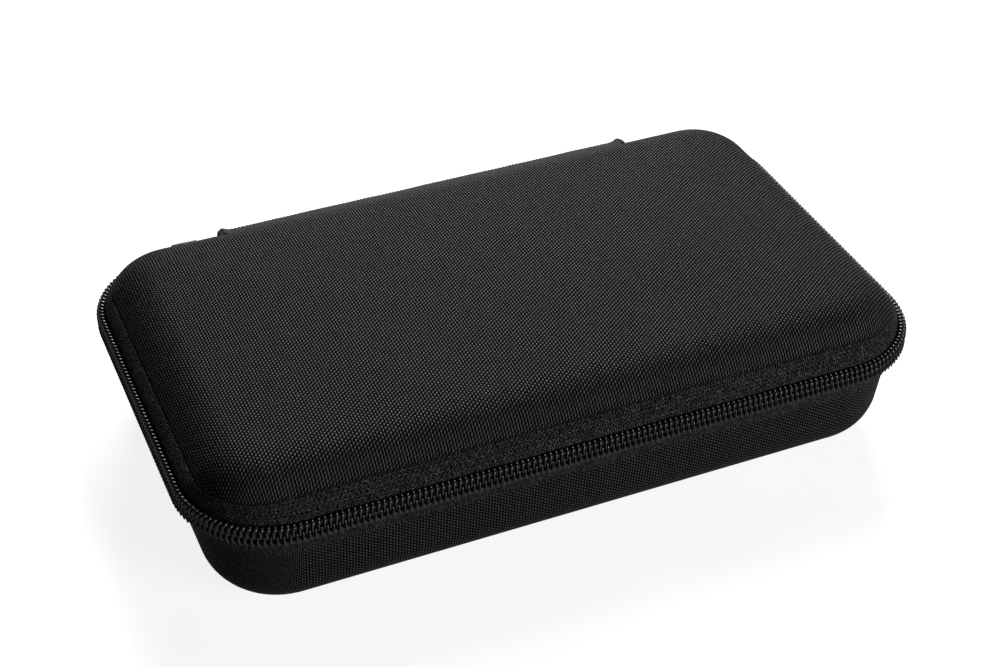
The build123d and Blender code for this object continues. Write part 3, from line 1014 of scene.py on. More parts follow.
def keep_outside(bm, left, right, inside=False):
    """Cut away the back of a band between two X places, or keep only that."""
    behind = CHAIN_HIGH.y - 20 * MM
    for x in (left, right):
        near = [f for f in bm.faces if f.calc_center_median().y > behind]
        edges = {edge for face in near for edge in face.edges}
        verts = {vert for face in near for vert in face.verts}
        bmesh.ops.bisect_plane(
            bm, geom=[*near, *edges, *verts], plane_co=(x, 0, 0), plane_no=(1, 0, 0)
        )
    gone = []
    for face in bm.faces:
        middle = face.calc_center_median()
        within = left < middle.x < right and middle.y > behind
        if within != inside:
            gone.append(face)
    bmesh.ops.delete(bm, geom=gone, context="FACES")
    bmesh.ops.holes_fill(bm, edges=[edge for edge in bm.edges if edge.is_boundary])


LEDGE_SLOPE = (CREASE_HEIGHT - TAPE_BEND) / (SIDE_LEDGE - COIL_THICKNESS)
TAPE_BACK = COIL_THICKNESS + TAPE_THICKNESS
EDGE_ROUND = 0.12 * MM


def upper_tape_profile():
    """Upper tape: upright beside the coil, then in over the ledge to the crease."""
    drop = TAPE_THICKNESS * sqrt(1 + LEDGE_SLOPE**2)
    under_bend = TAPE_BEND + LEDGE_SLOPE * TAPE_THICKNESS - drop
    start, end = plan(COIL_THICKNESS, TAPE_BEND), crease(0.06 * MM, CREASE_HEIGHT)
    low_start = plan(TAPE_BACK, under_bend)
    low_end = crease(-0.1 * MM, CREASE_HEIGHT - drop)
    face = [
        plan(COIL_THICKNESS + EDGE_ROUND, TAPE_EDGE),
        plan(COIL_THICKNESS, TAPE_EDGE + 0.15 * MM),
        plan(COIL_THICKNESS, TAPE_BEND - 1.2 * MM),
    ]
    steps = 8
    for step in range(steps + 1):
        share = step / steps
        outline = between(start, end, share)
        swell = 0.32 * MM * sin(pi * min(1, share * 1.05)) - (0.25 * MM if step == steps else 0)
        if step == 0:
            swell = -0.2 * MM
        face.append(outline._replace(height=outline.height + swell))
    back = [between(low_end, low_start, step / 3) for step in range(4)]
    return face + back + [plan(TAPE_BACK, TAPE_EDGE + EDGE_ROUND)]


def lower_tape_profile():
    """Lower tape: upright beside the coil, then in to its edge on the woven wall."""
    lean = TUB_INSET - COIL_THICKNESS - TAPE_THICKNESS
    edge = COIL_THICKNESS + lean
    return [
        plan(COIL_THICKNESS + EDGE_ROUND, -LOW_EDGE),
        plan(COIL_THICKNESS, -LOW_EDGE - 0.15 * MM),
        plan(COIL_THICKNESS, -TAPE_BEND + 0.6 * MM),
        plan(COIL_THICKNESS + 0.05 * MM, -TAPE_BEND - 0.4 * MM),
        plan(COIL_THICKNESS + lean * 0.5, -(TAPE_BEND + BAND_HEIGHT) / 2),
        plan(edge - 0.05 * MM, -BAND_HEIGHT + 0.9 * MM),
        plan(edge, -BAND_HEIGHT + 0.25 * MM),
        plan(edge + 0.25 * MM, -BAND_HEIGHT),
        plan(TUB_INSET - SLIVER, -BAND_HEIGHT),
        plan(TAPE_BACK, -TAPE_BEND),
        plan(TAPE_BACK, -LOW_EDGE - EDGE_ROUND),
    ]


TAIL_START = STRIP_LOW.x  # the tail of the upper row runs left from the hinge strip
TAIL_END = -CHAIN_HIGH.x + CORNER_RADIUS - 13.0 * MM


def bend_tail(made):
    """Apply a tail piece's transform to its mesh."""
    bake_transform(made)


def build_zip_tapes(scene):
    """Knitted tapes of both halves and the upper tape's tail."""
    cloth = finish(knitted_tape, scene.case_zip)
    gap = 0.1 * MM
    band(
        upper_tape_profile(), "upper_tape", cloth, "lid", ["upper_zip_tape"],
        cut=(TAIL_END - gap, TAIL_START),
    )
    band(lower_tape_profile(), "lower_tape", cloth, "base", ["lower_zip_tape"])
    tail = band(
        upper_tape_profile(), "upper_tape_end", cloth, None, ["upper_tape_tail"],
        cut=(TAIL_END + gap, TAIL_START - 0.2 * MM, True),
    )
    bend_tail(tail)


# ================================================================ coils
ROW_MARGIN = 0.2 * MM
ROW_END = track_length() - STRIP_HIGH.x - ROW_MARGIN  # distance round, at the strip's other end
THREAD_ROOM = 0.12 * MM  # the loops lie this far in, under the thread that sews them
PARTED = 0.95 * MM  # half the height of the opening round the slider's post
PART_START = (SLIDER_LOW.x + SLIDER_HIGH.x) / 2 + 2.0 * MM  # X, right of which the rows stand apart


def arc_place(x):
    """Distance round the track from the middle of the back to an X place, going left."""
    flat = CHAIN_HIGH.x - CORNER_RADIUS
    if x >= -flat:
        return -x
    share = min(1.0, (-x - flat) / TRACK_RADIUS)
    return flat + TRACK_RADIUS * asin(share)


def squarer(value, power=0.6):
    """Sine or cosine of a loop that is squarer than a circle."""
    return abs(value) ** power * (1 if value > 0 else -1)


# side is 1 above the closing plane and -1 below it. phase is the place of the first loop, in
# pitches. heel is how much thicker the wire is at the loops' far end, and short is how far they
# stay from the row's edge. cord is the height of the cord, as a share of the row's width.
Row = namedtuple("Row", "side phase heel short cord")
UPPER_ROW = Row(1, 0.54, 0.9, 0.0, 0.55)
LOWER_ROW = Row(-1, 0.03, 0.2, 0.5 * MM, 0.69)
HEAD_SWELL = 0.15  # how much thicker the wire is at the heads
LOOP_STEPS = 16
LEADS = (0, 0, 0.03, 0.12, 0.22, 0.3, 0.38, 0.46, 0.54, 0.62, 0.7, 0.78, 0.88, 0.96, 1, 1)


def wire_run(zip_sizes, start, end, row):
    """Path and swell of a row's wire between two distances round the track.

    A loop runs from its outer leg over the heel, down its inner leg and round the head. LEADS
    is the share of a pitch that the wire has moved on by at each step."""
    half = zip_sizes.wire / 2
    pitch = zip_sizes.loop_pitch
    phase = row.phase * pitch
    first = int((start - phase) / pitch) + 1
    count = int((end - phase) / pitch) - first
    top = COIL_WIDTH - half * (1 + row.heel) - row.short
    foot = half - (zip_sizes.upper_reach if row is UPPER_ROW else zip_sizes.lower_reach)
    near, far = half + THREAD_ROOM, COIL_THICKNESS - half
    path, swell = [], []
    parting = -PART_START
    for step in range(count * LOOP_STEPS + 1):
        angle = 2 * pi * step / LOOP_STEPS
        loops, within = divmod(step, LOOP_STEPS)
        distance = phase + (first + loops + LEADS[within]) * pitch
        lift, depth = squarer(sin(angle)), squarer(cos(angle))
        apart = clamp((parting - distance + 2 * MM) / (3 * MM))
        low = foot + (PARTED + half - foot) * apart
        height = (top + low) / 2 + (top - low) / 2 * lift
        inset = (near + far) / 2 - (far - near) / 2 * depth
        path.append(track(distance, inset, row.side * height)[0])
        swell.append(1.0 + (HEAD_SWELL if lift < 0 else row.heel) * lift**4)
    return path, swell


def cord_run(start, end, row):
    """Path of the filler cord inside a row's loops."""
    count = max(8, int((end - start) / (3 * MM)))
    inset, height = COIL_THICKNESS * 0.52, row.side * (row.cord * COIL_WIDTH)
    stretch = end - start - 2 * ROW_MARGIN
    return [
        track(start + ROW_MARGIN + stretch * i / count, inset, height)[0]
        for i in range(count + 1)
    ]


def coil_row(scene, name, start, end, row, body, node):
    """One row: its looped wire, and the cord inside the loops as a piece of its own."""
    sizes = scene.case_zip
    loops, cord = bmesh.new(), bmesh.new()
    path, swell = wire_run(sizes, start, end, row)
    add_tube(loops, path, sizes.wire / 2, sides=8, swell=swell)
    add_tube(cord, cord_run(start, end, row), sizes.cord / 2, sides=8)
    nylon, spun = finish(coil_nylon, sizes), finish(filler_cord, sizes)
    made = [
        piece(loops, name, nylon, body, [node]),
        piece(cord, name + "_cord", spun, body),
    ]
    if body is None:
        for part in made:
            bend_tail(part)


def build_zip_coils(scene):
    """Both rows of looped nylon wire, locked into each other, and the upper row's loose tail."""
    tail_end = arc_place(TAIL_END)
    tail_start = arc_place(TAIL_START) + ROW_MARGIN
    coil_row(scene, "upper_coil", tail_end, ROW_END, UPPER_ROW, "lid", "upper_zip_coil")
    coil_row(scene, "lower_coil", tail_start, ROW_END, LOWER_ROW, "base", "lower_zip_coil")
    coil_row(scene, "upper_coil_end", tail_start, tail_end, UPPER_ROW, None, "upper_coil_tail")


# phase is a stitch's place in a pitch. It runs by rise away from the closing plane while it
# runs by travel along the row.
CoilSeam = namedtuple("CoilSeam", "name body start phase height length rise travel")
COIL_SEAMS = (
    CoilSeam(
        "upper_coil_stitching", "lid", arc_place(TAIL_END),
        phase=0.42, height=1.55 * MM, length=2.8 * MM, rise=1.0, travel=0.0,
    ),
    CoilSeam(
        "lower_coil_stitching", "base", arc_place(TAIL_START),
        phase=0.06, height=-1.25 * MM, length=2.7 * MM, rise=-0.95, travel=0.32,
    ),
)
COIL_THREAD = 0.54 * MM
COIL_THREAD_INSET = -0.02 * MM


def build_coil_stitching(scene):
    """Thread that sews each loop to its tape, over the loop's outer leg."""
    thread = finish(sewn_thread, scene.case_trim)
    pitch = scene.case_zip.loop_pitch
    for seam in COIL_SEAMS:
        bm = bmesh.new()
        for index in range(int(seam.start / pitch) + 2, int(ROW_END / pitch) - 1):
            distance = (index + seam.phase) * pitch
            place, away = track(distance, COIL_THREAD_INSET, seam.height)
            ahead, _ = track(distance + 0.1 * MM, COIL_THREAD_INSET, seam.height)
            along = (ahead - place).normalized() * seam.travel + Vector((0, 0, seam.rise))
            add_stitch(bm, place, along.normalized(), away, seam.length, COIL_THREAD)
        piece(bm, seam.name, thread, seam.body)


# ================================================================ hinge strip
STRIP_THICKNESS = 0.9 * MM
STRIP_PROUD = 1.0 * MM
STRIP_FLAT = 3.0 * MM
STRIP_CORNER = 6.2 * MM
STRIP_LANDING = 6.6 * MM
STRIP_UPPER = 7.1 * MM
STRIP_LOWER = 8.4 * MM
STRIP_LIFT = 0.05 * MM
FOLD_LENGTH = 3.0 * MM
OVERLOCK_MARGIN = 0.4 * MM
OVERLOCK_REACH = 1.0 * MM
EDGE_ROLL = 0.62 * MM
CORNER_ROLL = 0.5 * MM
SEAM_STITCH = 2.7 * MM


def strip_line():
    """Inner face of the hinge strip across its width, as Y and height, from the lower edge."""
    band_lean = (TUB_INSET - COIL_THICKNESS - TAPE_THICKNESS) / (BAND_HEIGHT - TAPE_BEND)

    def below(height):
        """Y of the lower tape's face."""
        return CHAIN_HIGH.y - COIL_THICKNESS - band_lean * (height - TAPE_BEND) + STRIP_LIFT

    def above(height):
        """Y of the upper tape's face."""
        return CHAIN_HIGH.y - COIL_THICKNESS - (height - TAPE_BEND) / LEDGE_SLOPE + STRIP_LIFT

    inner = CHAIN_HIGH.y + STRIP_PROUD - STRIP_THICKNESS
    line = [
        (below(STRIP_LOWER), -STRIP_LOWER), (below(5 * MM), -5 * MM),
        (inner, -STRIP_FLAT), (inner, STRIP_CORNER),
        (above(STRIP_LANDING), STRIP_LANDING), (above(STRIP_UPPER), STRIP_UPPER),
    ]
    line = [Vector((0, y, CLOSING + height)) for y, height in line]
    for _ in range(2):  # cut the corners twice, keeping the ends
        cut = [line[0]]
        for first, second in zip(line, line[1:]):
            cut += [first.lerp(second, 0.25), first.lerp(second, 0.75)]
        line = cut + [line[-1]]
    return line


def strip_frames():
    """Places across the strip with their outward directions."""
    line = strip_line()
    found = []
    for index, place in enumerate(line):
        ahead = line[min(index + 1, len(line) - 1)] - line[max(index - 1, 0)]
        found.append((place, ahead.cross(Vector((-1, 0, 0))).normalized() * -1))
    if found[len(found) // 2][1].y < 0:
        found = [(place, -away) for place, away in found]
    return found


def strip_ripple(x, share):
    """Slight rise and fall of the sewn strip."""
    return 0.12 * MM * sin(x / (7.3 * MM)) * sin(pi * share) + 0.08 * MM * sin(x / (2.9 * MM) + 1)


def webbing_mesh(frames):
    """The strip from end to end, double where its ends are folded under."""
    across = run_of([place for place, _ in frames])
    left, right = STRIP_LOW.x, STRIP_HIGH.x
    steps, last = 96, len(frames) - 1
    rows, marks = [], []
    for step in range(steps + 1):
        x = left + (right - left) * step / steps
        from_end = min(x - left, right - x)
        doubled = 1 + (1 - clamp((from_end / FOLD_LENGTH - 0.75) / 0.35))
        pinch = 0.55 if step in (0, steps) else 1.0
        near, far = [], []
        for index, (place, away) in enumerate(frames):
            ripple = strip_ripple(x, index / last) if doubled == 1 else 0.0
            thick, lift = STRIP_THICKNESS * doubled * pinch, 0.0
            if index in (0, last):
                thick, lift = thick * 0.6, 0.2 * STRIP_THICKNESS
            base = Vector((x, place.y, place.z))
            near.append(base + away * (thick + lift + ripple * 0.5))
            far.append(base + away * lift)
        rows.append(near + far[::-1])
        mark = [(x / MM, run / MM) for run in across]
        marks.append(mark + mark[::-1])
    return loft(rows, marks=marks, capped=True)


def overlock(trim, place, away, inward, roll):
    """Thread wound round an edge of the strip. roll is how far it rises on either face."""
    bm = bmesh.new()
    steps = 10
    left = STRIP_LOW.x + OVERLOCK_MARGIN
    turns = int((STRIP_HIGH.x - OVERLOCK_MARGIN - left) / trim.overlock_pitch)
    middle = place + away * STRIP_THICKNESS * 0.5 + inward * 0.75 * MM
    path = []
    for step in range(turns * steps + 1):
        angle = 2 * pi * step / steps
        x = left + trim.overlock_pitch * step / steps
        wobble = 0.06 * MM * sin(x / (1.7 * MM)) + 0.05 * MM * sin(x / (4.1 * MM))
        reach = inward * cos(angle) * OVERLOCK_REACH
        rise = away * (sin(angle) * (roll + wobble))
        path.append(Vector((x, middle.y, middle.z)) + reach + rise)
    add_tube(bm, path, trim.thread * 0.62, sides=6)
    return bm


def hinge_seam(trim, node, away):
    """Straight row of stitches where a node's own stitches lie."""
    low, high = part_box(node)
    middle = (low + high) / 2
    bm = bmesh.new()
    for index in range(int((high.x - low.x) / trim.stitch_pitch) + 1):
        x = low.x + (index + 0.36) * trim.stitch_pitch
        place = Vector((x, middle.y, middle.z)) + away * 0.05 * MM
        add_stitch(bm, place, Vector((1, 0, 0)), away, SEAM_STITCH, trim.thread * 1.25)
    return bm


def build_hinge_strip(scene):
    """Sewn webbing hinge: the strip, its folded ends, overlocked edges and two seams."""
    trim = scene.case_trim
    webbing, thread = finish(herringbone_webbing, trim), finish(sewn_thread, trim)
    frames = strip_frames()
    bm = webbing_mesh(frames)
    strip = piece(bm, "hinge_webbing", webbing, None, ["hinge_strip"])
    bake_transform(strip)
    corner = max(range(len(frames)), key=lambda i: frames[i][0].y * 0.6 + frames[i][0].z * 0.8)
    for name, body, end, roll in (
        ("lower_overlock", "base", 0, EDGE_ROLL), ("upper_overlock", "lid", -1, EDGE_ROLL),
        ("corner_overlock", "lid", corner, CORNER_ROLL),
    ):
        place, away = frames[end]
        inward = (frames[1 if end == 0 else end - 1][0] - place).normalized()
        piece(overlock(trim, place, away, inward, roll), name, thread, body)
    for name, body, index, node in (
        ("lower_hinge_seam", "base", 1, "hinge_stitches_lower"),
        ("upper_hinge_seam", "lid", -2, "hinge_stitches_upper"),
    ):
        bm = hinge_seam(trim, node, frames[index][1])
        piece(bm, name, thread, body, [node])


# ================================================================ slider and pull
def build_slider(scene):
    """Die-cast slider: two plates joined at a post, folded flanges and an arched bail."""
    enamel = finish(worn_enamel, scene.case_trim)
    left, right, back = SLIDER_LOW.x, SLIDER_HIGH.x, CHAIN_HIGH.y
    tall = COIL_WIDTH + 0.9 * MM
    low, high = CLOSING - tall, CLOSING + tall
    plate, outer, swell = back + 0.35 * MM, back + 1.45 * MM, 0.3 * MM
    inner, fold = back - TAPE_BACK - 0.35 * MM, 0.55 * MM
    flange = (left + 0.3 * MM, back - 2.3 * MM), (right - 0.3 * MM, plate + 0.5 * MM)
    blocks = (  # low corner, high corner, rounding, segments
        ((left, plate, low), (right, outer, high), 0.5 * MM, 4),
        (
            (left + 0.9 * MM, outer - 0.5 * MM, low + 1.2 * MM),
            (right - 0.9 * MM, outer + swell, high - 1.2 * MM), 0.5 * MM, 4,
        ),
        ((*flange[0], low), (*flange[1], low + fold), 0.2 * MM, 2),
        ((*flange[0], high - fold), (*flange[1], high), 0.2 * MM, 2),
        (
            (left, inner - 0.8 * MM, CLOSING - 3 * MM), (right, inner, CLOSING + 3 * MM),
            0.3 * MM, 3,
        ),
        (
            (right - 2.4 * MM, inner - 0.1 * MM, CLOSING - 0.6 * MM),
            (right, plate + 0.1 * MM, CLOSING + 0.6 * MM), 0.25 * MM, 3,
        ),
    )
    bm = bmesh.new()
    for block in blocks:
        add_block(bm, *block)
    middle, steps = (left + right) / 2, 20
    path = []
    for step in range(steps + 1):  # the bail
        angle = pi * step / steps
        flat, rise = squarer(cos(angle), 0.55), 2.8 * MM * sin(angle) ** 0.6
        path.append(Vector((middle - 2.9 * MM * flat, outer - 0.2 * MM + rise, 0)))
    verts = add_tube(bm, path, 0.6 * MM, sides=8)
    bmesh.ops.scale(bm, vec=(1, 1, 1.33), verts=verts)
    bmesh.ops.translate(bm, vec=(0, 0, CLOSING), verts=verts)
    piece(bm, "zip_slider", enamel, "slider", ["slider_body"], radians(35))


def build_pull(scene):
    """Pull: a sleeve round the slider's bail, a flat tab and a moulded grip."""
    trim = scene.case_trim
    enamel, rubber = finish(worn_enamel, trim), finish(soft_rubber, trim)
    middle = PULL_PIVOT
    half, wide, thick = 2.0 * MM, 3.0 * MM, 0.65 * MM
    bore, outer = 1.2 * MM, 1.95 * MM
    bm = bmesh.new()
    corners = [(-half, bore), (half, bore), (half, outer), (-half, outer)]
    verts = [bm.verts.new((middle.x + x, middle.y + r, middle.z)) for x, r in corners]
    for pair in zip(verts, verts[1:] + verts[:1]):
        bm.edges.new(pair)
    bmesh.ops.bevel(
        bm, geom=verts, offset=0.2 * MM, segments=2, profile=0.5, affect="VERTICES", material=-1
    )
    bmesh.ops.spin(
        bm, geom=bm.verts[:] + bm.edges[:], cent=middle, axis=(1, 0, 0), angle=2 * pi, steps=28,
        use_merge=True,
    )
    bmesh.ops.remove_doubles(bm, verts=bm.verts, dist=0.002 * MM)
    tab_bottom = GRIP_LOW.z + 2.5 * MM
    add_block(
        bm, (middle.x - half, middle.y - thick, tab_bottom + 1 * MM),
        (middle.x + half, middle.y + thick, middle.z - 1.3 * MM), 0.3 * MM,
    )
    add_block(
        bm, (middle.x - wide, middle.y - thick, tab_bottom),
        (middle.x + wide, middle.y + thick, middle.z - 2.1 * MM), 0.4 * MM, 4,
    )
    piece(bm, "pull_metal", enamel, "pull", ["pull_tab"], radians(35))
    grip = bmesh.new()
    add_block(grip, GRIP_LOW, GRIP_HIGH, 1.1 * MM, 5)
    ridges = 7
    low, high = GRIP_LOW.z + 3.2 * MM, GRIP_HIGH.z - 3.2 * MM
    for index in range(ridges):
        z = low + (high - low) * index / (ridges - 1)
        add_block(
            grip, (GRIP_LOW.x + 1.2 * MM, GRIP_LOW.y - 0.25 * MM, z - 0.45 * MM),
            (GRIP_HIGH.x - 1.2 * MM, GRIP_HIGH.y + 0.25 * MM, z + 0.45 * MM), 0.3 * MM, 3,
        )
    piece(grip, "pull_handle", rubber, "pull", ["pull_grip"], radians(45))


# ================================================================ insides
def stitch_round(bm, outline, pitch, length, thickness, inwards=-1):
    """Row of stitches along an outline, standing on its inner side."""
    (places,) = rows_of([outline])
    places.append(places[0])
    runs = run_of(places)
    count = int(runs[-1] / pitch)
    index = 0
    for k in range(count):
        run = (k + 0.5) * runs[-1] / count
        while runs[index + 1] < run:
            index += 1
        first, second = places[index], places[index + 1]
        along = (second - first).normalized()
        middle = first + along * (run - runs[index])
        add_stitch(bm, middle, along, along.cross(Vector((0, 0, inwards))), length, thickness)


def skin(name, outer, inner, material, body, node):
    """Closed bowl between two runs of outlines, with no weave coordinates."""
    bm = loft(rows_of(outer[::-1] + inner), capped=True)
    return piece(bm, name, material, body, [node])


def build_inside(scene, body, side, on_wall, outer, inner):
    """Brushed lining, ribbed binding and its seam of one half. side is 1 in the lid, -1 in the
    base, and on_wall gives an outline on the half's inner wall."""
    inside, trim = scene.case_inside, scene.case_trim
    lining = finish(brushed_lining, inside)
    skin(f"{body}_lining_cloth", outer, inner, lining, body, f"{body}_lining")
    folded = SHELL_WALL + BINDING
    rim = [
        plan(RIM_INSET - SLIVER, side * (CLOSING_GAP + BINDING)),
        plan(RIM_INSET, side * (CLOSING_GAP + 0.25 * MM)),
        plan(RIM_INSET + 0.25 * MM, side * CLOSING_GAP),
    ]
    leg = [
        on_wall(wall, side * height) for wall, height in (
            (folded - 0.35 * MM, CLOSING_GAP), (folded, CLOSING_GAP + 0.35 * MM),
            (folded + 0.1 * MM, BINDING_LEG * 0.6), (folded + 0.05 * MM, BINDING_LEG - 0.25 * MM),
            (folded - 0.25 * MM, BINDING_LEG), (SHELL_WALL, BINDING_LEG),
            (SHELL_WALL, CLOSING_GAP + BINDING),
        )
    ]
    tape, thread = finish(ribbed_binding, inside), finish(sewn_thread, trim)
    band(rim + leg, f"{body}_binding_tape", tape, body, [f"{body}_binding"])
    bm = bmesh.new()
    seam_line = on_wall(folded + 0.08 * MM, side * (BINDING_LEG - 1.2 * MM))
    stitch_round(bm, seam_line, trim.stitch_pitch, 2.6 * MM, trim.thread)
    piece(bm, f"{body}_binding_seam", thread, body)


def build_lid_inside(scene):
    """Lining and binding of the lid."""
    outer, inner = (
        dome_face(wall, BINDING_LEG, 8, 8)[0] for wall in (SHELL_WALL, SHELL_WALL + LINING)
    )
    build_inside(scene, "lid", 1, on_dome, outer, inner)


def build_base_inside(scene):
    """Lining and binding of the base."""
    outer, inner = (
        tub_face(wall, -BINDING_LEG, 8, 6)[0] for wall in (SHELL_WALL, SHELL_WALL + LINING)
    )
    build_inside(scene, "base", -1, on_tub, outer, inner)


NET_ROOM = 0.12 * MM  # between the net's edge and the binding
LEAST_CELL, LEAST_HOLE = 0.25, 0.05  # smallest cell that is opened and hole that is cut, in cells


def build_net_pocket(scene):
    """Net pocket of the lid: a knitted net stretched over the opening under a gathered band."""
    inside = scene.case_inside
    height = (NET_LOW.z + NET_HIGH.z) / 2
    pitch = inside.net_pitch
    bm = bmesh.new()
    reach = 1.08 * max(NET_HIGH.x, NET_HIGH.y - NET_LOW.y)  # covers the pocket when turned
    count = int(2 * reach * sqrt(2) / pitch)
    bmesh.ops.create_grid(
        bm, x_segments=count, y_segments=count, size=count * pitch / 2,
        matrix=Matrix.Translation((0, 0, height)) @ Matrix.Rotation(pi / 4, 4, "Z"),
    )
    far = [
        face for face in bm.faces
        if not NET_LOW.y - pitch < face.calc_center_median().y < NET_HIGH.y + pitch
    ]
    bmesh.ops.delete(bm, geom=far, context="FACES")
    limit = on_dome(SHELL_WALL + BINDING + NET_ROOM, height - CLOSING)
    cuts = [(Vector((0, NET_HIGH.y, height)), Vector((0, 1, 0)))]
    for station in STATIONS:
        if station[2] == 0.0:
            place = spot(limit, station)
            if place.y < NET_HIGH.y:
                cuts.append((place, outward(station)))
    for place, away in cuts:
        bmesh.ops.bisect_plane(
            bm, geom=bm.verts[:] + bm.edges[:] + bm.faces[:], plane_co=place, plane_no=away,
            clear_outer=True,
        )
    bmesh.ops.remove_doubles(bm, verts=bm.verts, dist=0.02 * MM)
    whole = [f for f in bm.faces if f.calc_area() > LEAST_CELL * pitch**2]
    bmesh.ops.inset_individual(bm, faces=whole, thickness=inside.strand / 2, depth=0)
    holes = [f for f in whole if f.calc_area() > LEAST_HOLE * pitch**2]
    bmesh.ops.delete(bm, geom=holes, context="FACES")
    bmesh.ops.solidify(bm, geom=bm.faces[:], thickness=(NET_HIGH.z - NET_LOW.z) * 0.7)
    drop = NET_LOW.z + 0.02 * MM - min(v.co.z for v in bm.verts)
    bmesh.ops.translate(bm, vec=(0, 0, drop), verts=bm.verts)
    net = piece(bm, "pocket_net", finish(knitted_net, inside), "lid", ["mesh_pocket"])
    build_elastic(scene)


def build_elastic(scene):
    """Gathered elastic band along the pocket's mouth."""
    steps = 300
    low, high = ELASTIC_LOW, ELASTIC_HIGH
    middle = Vector((0, (low.y + high.y) / 2, (low.z + high.z) / 2))
    half = (high.y - low.y) / 2
    thick = (high.z - low.z) / 2
    rows, marks = [], []
    for step in range(steps + 1):
        x = low.x + (high.x - low.x) * step / steps
        gather = 0.72 + 0.28 * sin(2 * pi * x / (2.6 * MM)) * (0.7 + 0.3 * sin(x / (5.3 * MM)))
        row, mark = [], []
        for k in range(16):
            angle = 2 * pi * k / 16
            flat, tall = squarer(cos(angle), 0.45), squarer(sin(angle))
            row.append(Vector((x, middle.y + half * flat * 0.98, middle.z + thick * tall * gather)))
            mark.append((x / MM, half * flat / MM))
        rows.append(row)
        marks.append(mark)
    bm = loft(rows, marks=marks, capped=True)
    tape = finish(ribbed_binding, scene.case_inside)
    piece(bm, "pocket_band", tape, "lid", ["pocket_elastic"])


def build_foam_insert(scene):
    """Foam block with its slots, edges rounded, and the pad under it."""
    inside = scene.case_inside
    foam = finish(closed_foam, inside)
    bm = bmesh.new()
    bm.from_mesh(frame["nodes"]["foam_insert"].data)
    bmesh.ops.remove_doubles(bm, verts=bm.verts, dist=0.005 * MM)
    bmesh.ops.dissolve_limit(bm, angle_limit=radians(0.6), verts=bm.verts, edges=bm.edges)
    sharp = [e for e in bm.edges if e.is_manifold and e.calc_face_angle(0) > radians(60)]
    bmesh.ops.bevel(
        bm, geom=sharp, offset=inside.foam_round, segments=3, profile=0.5, affect="EDGES",
        material=-1, clamp_overlap=True,
    )
    bmesh.ops.triangulate(bm, faces=[f for f in bm.faces if len(f.verts) > 4])
    block = piece(bm, "foam_block", foam, "base", ["foam_insert"], radians(30))
    wall = SHELL_WALL + LINING + 0.3 * MM
    top = PAD_HIGH.z - CLOSING
    outer, _ = tub_face(wall, -BAND_HEIGHT, 18, 3)
    outer = [outline for outline in outer if outline.height < top - 0.5 * MM]
    lip = outer[0]._replace(height=top)
    outer.insert(0, lip._replace(height=top - 0.4 * MM))
    lip = Outline(lip.length - 0.4 * MM, lip.width - 0.4 * MM, lip.radius - 0.4 * MM, top)
    cover = [lip, lip._replace(length=lip.length / 2, width=lip.width / 2, radius=lip.radius / 2)]
    pad = skin("foam_pad", outer, cover, foam, "base", "insert_pad")


# ================================================================ stage
CAMERA_LENS, CAMERA_SENSOR = 69.033, 36  # millimetres
AIM_HEIGHT, AIM_RIGHT, AIM_DOWN = 36.15 * MM, 0.18 * MM, 6.145 * MM
LIT_POINT = Vector((0, 0, 30 * MM))


def build_stage(scene):
    """Pale floor, soft light from above and the camera."""
    stage = scene.case_stage
    floor = floor_piece()
    world = bpy.data.worlds.new("room")
    world.use_nodes = True
    w = Wiring(world.node_tree)
    shown = w.add("ShaderNodeLightPath")
    seen = w.math("MAXIMUM", shown.outputs["Is Camera Ray"], shown.outputs["Is Transmission Ray"])
    background = world.node_tree.nodes["Background"]
    background.inputs["Color"].default_value = (1, 1, 1, 1)
    strength = w.add("ShaderNodeMix", {0: seen, 2: stage.room, 3: 1.0}, data_type="FLOAT")
    w.feed(background.inputs["Strength"], strength.outputs[0])
    scene.world = world
    lamps = [
        light("key", stage.key, (0.8, 0.5), (0.48, 1.1, 0.78)),
        light("fill", stage.fill, (0.7, 0.5), (0.75, -1.2, 0.4)),
        light("glint", stage.glint, (0.3, 0.3), (0.4, 0.68, 1.0)),
    ]
    camera = bpy.data.objects.new("camera", bpy.data.cameras.new("camera"))
    scene.collection.objects.link(camera)
    camera.data.lens = CAMERA_LENS
    camera.data.sensor_width = CAMERA_SENSOR
    camera.data.clip_start = 0.01
    turn, rise = stage.azimuth, stage.elevation
    back = Vector((sin(turn) * cos(rise), -cos(turn) * cos(rise), sin(rise)))
    right = Vector((cos(turn), sin(turn), 0))
    up = back.cross(right)
    target = Vector((0, 0, AIM_HEIGHT)) + right * AIM_RIGHT - up * AIM_DOWN
    place = Matrix((right, up, back)).transposed().to_4x4()
    place.translation = target + back * stage.distance
    camera.matrix_world = place
    scene.camera = camera
    scene.view_settings.view_transform = "Standard"


def floor_piece():
    """Pale floor that the camera sees as white paper and that bounces less light."""
    bm = bmesh.new()
    bmesh.ops.create_grid(bm, x_segments=1, y_segments=1, size=3.0)
    mesh = bpy.data.meshes.new("floor")
    bm.to_mesh(mesh)
    bm.free()
    material, w, shader = new_material("paper floor", Roughness=1.0, Specular_IOR_Level=0.0)
    place = body_space(w)
    rays = w.add("ShaderNodeLightPath").outputs
    shown = w.chain(rays["Is Glossy Ray"], ("MULTIPLY", 0.22), ("MAXIMUM", rays["Is Camera Ray"]))
    paper = w.ramp(w.noise(place, 0.02, 3.0), 0.3, 0.7, 0.985, 1.0)
    w.feed(shader.inputs["Base Color"], w.tint(shown, grey(0.14), grey(0.5)))
    shader.inputs["Emission Color"].default_value = (1, 1, 1, 1)
    w.feed(shader.inputs["Emission Strength"], w.times(shown, paper, 0.86))
    mesh.materials.append(material)
    made = bpy.data.objects.new("floor", mesh)
    bpy.context.scene.collection.objects.link(made)
    return made


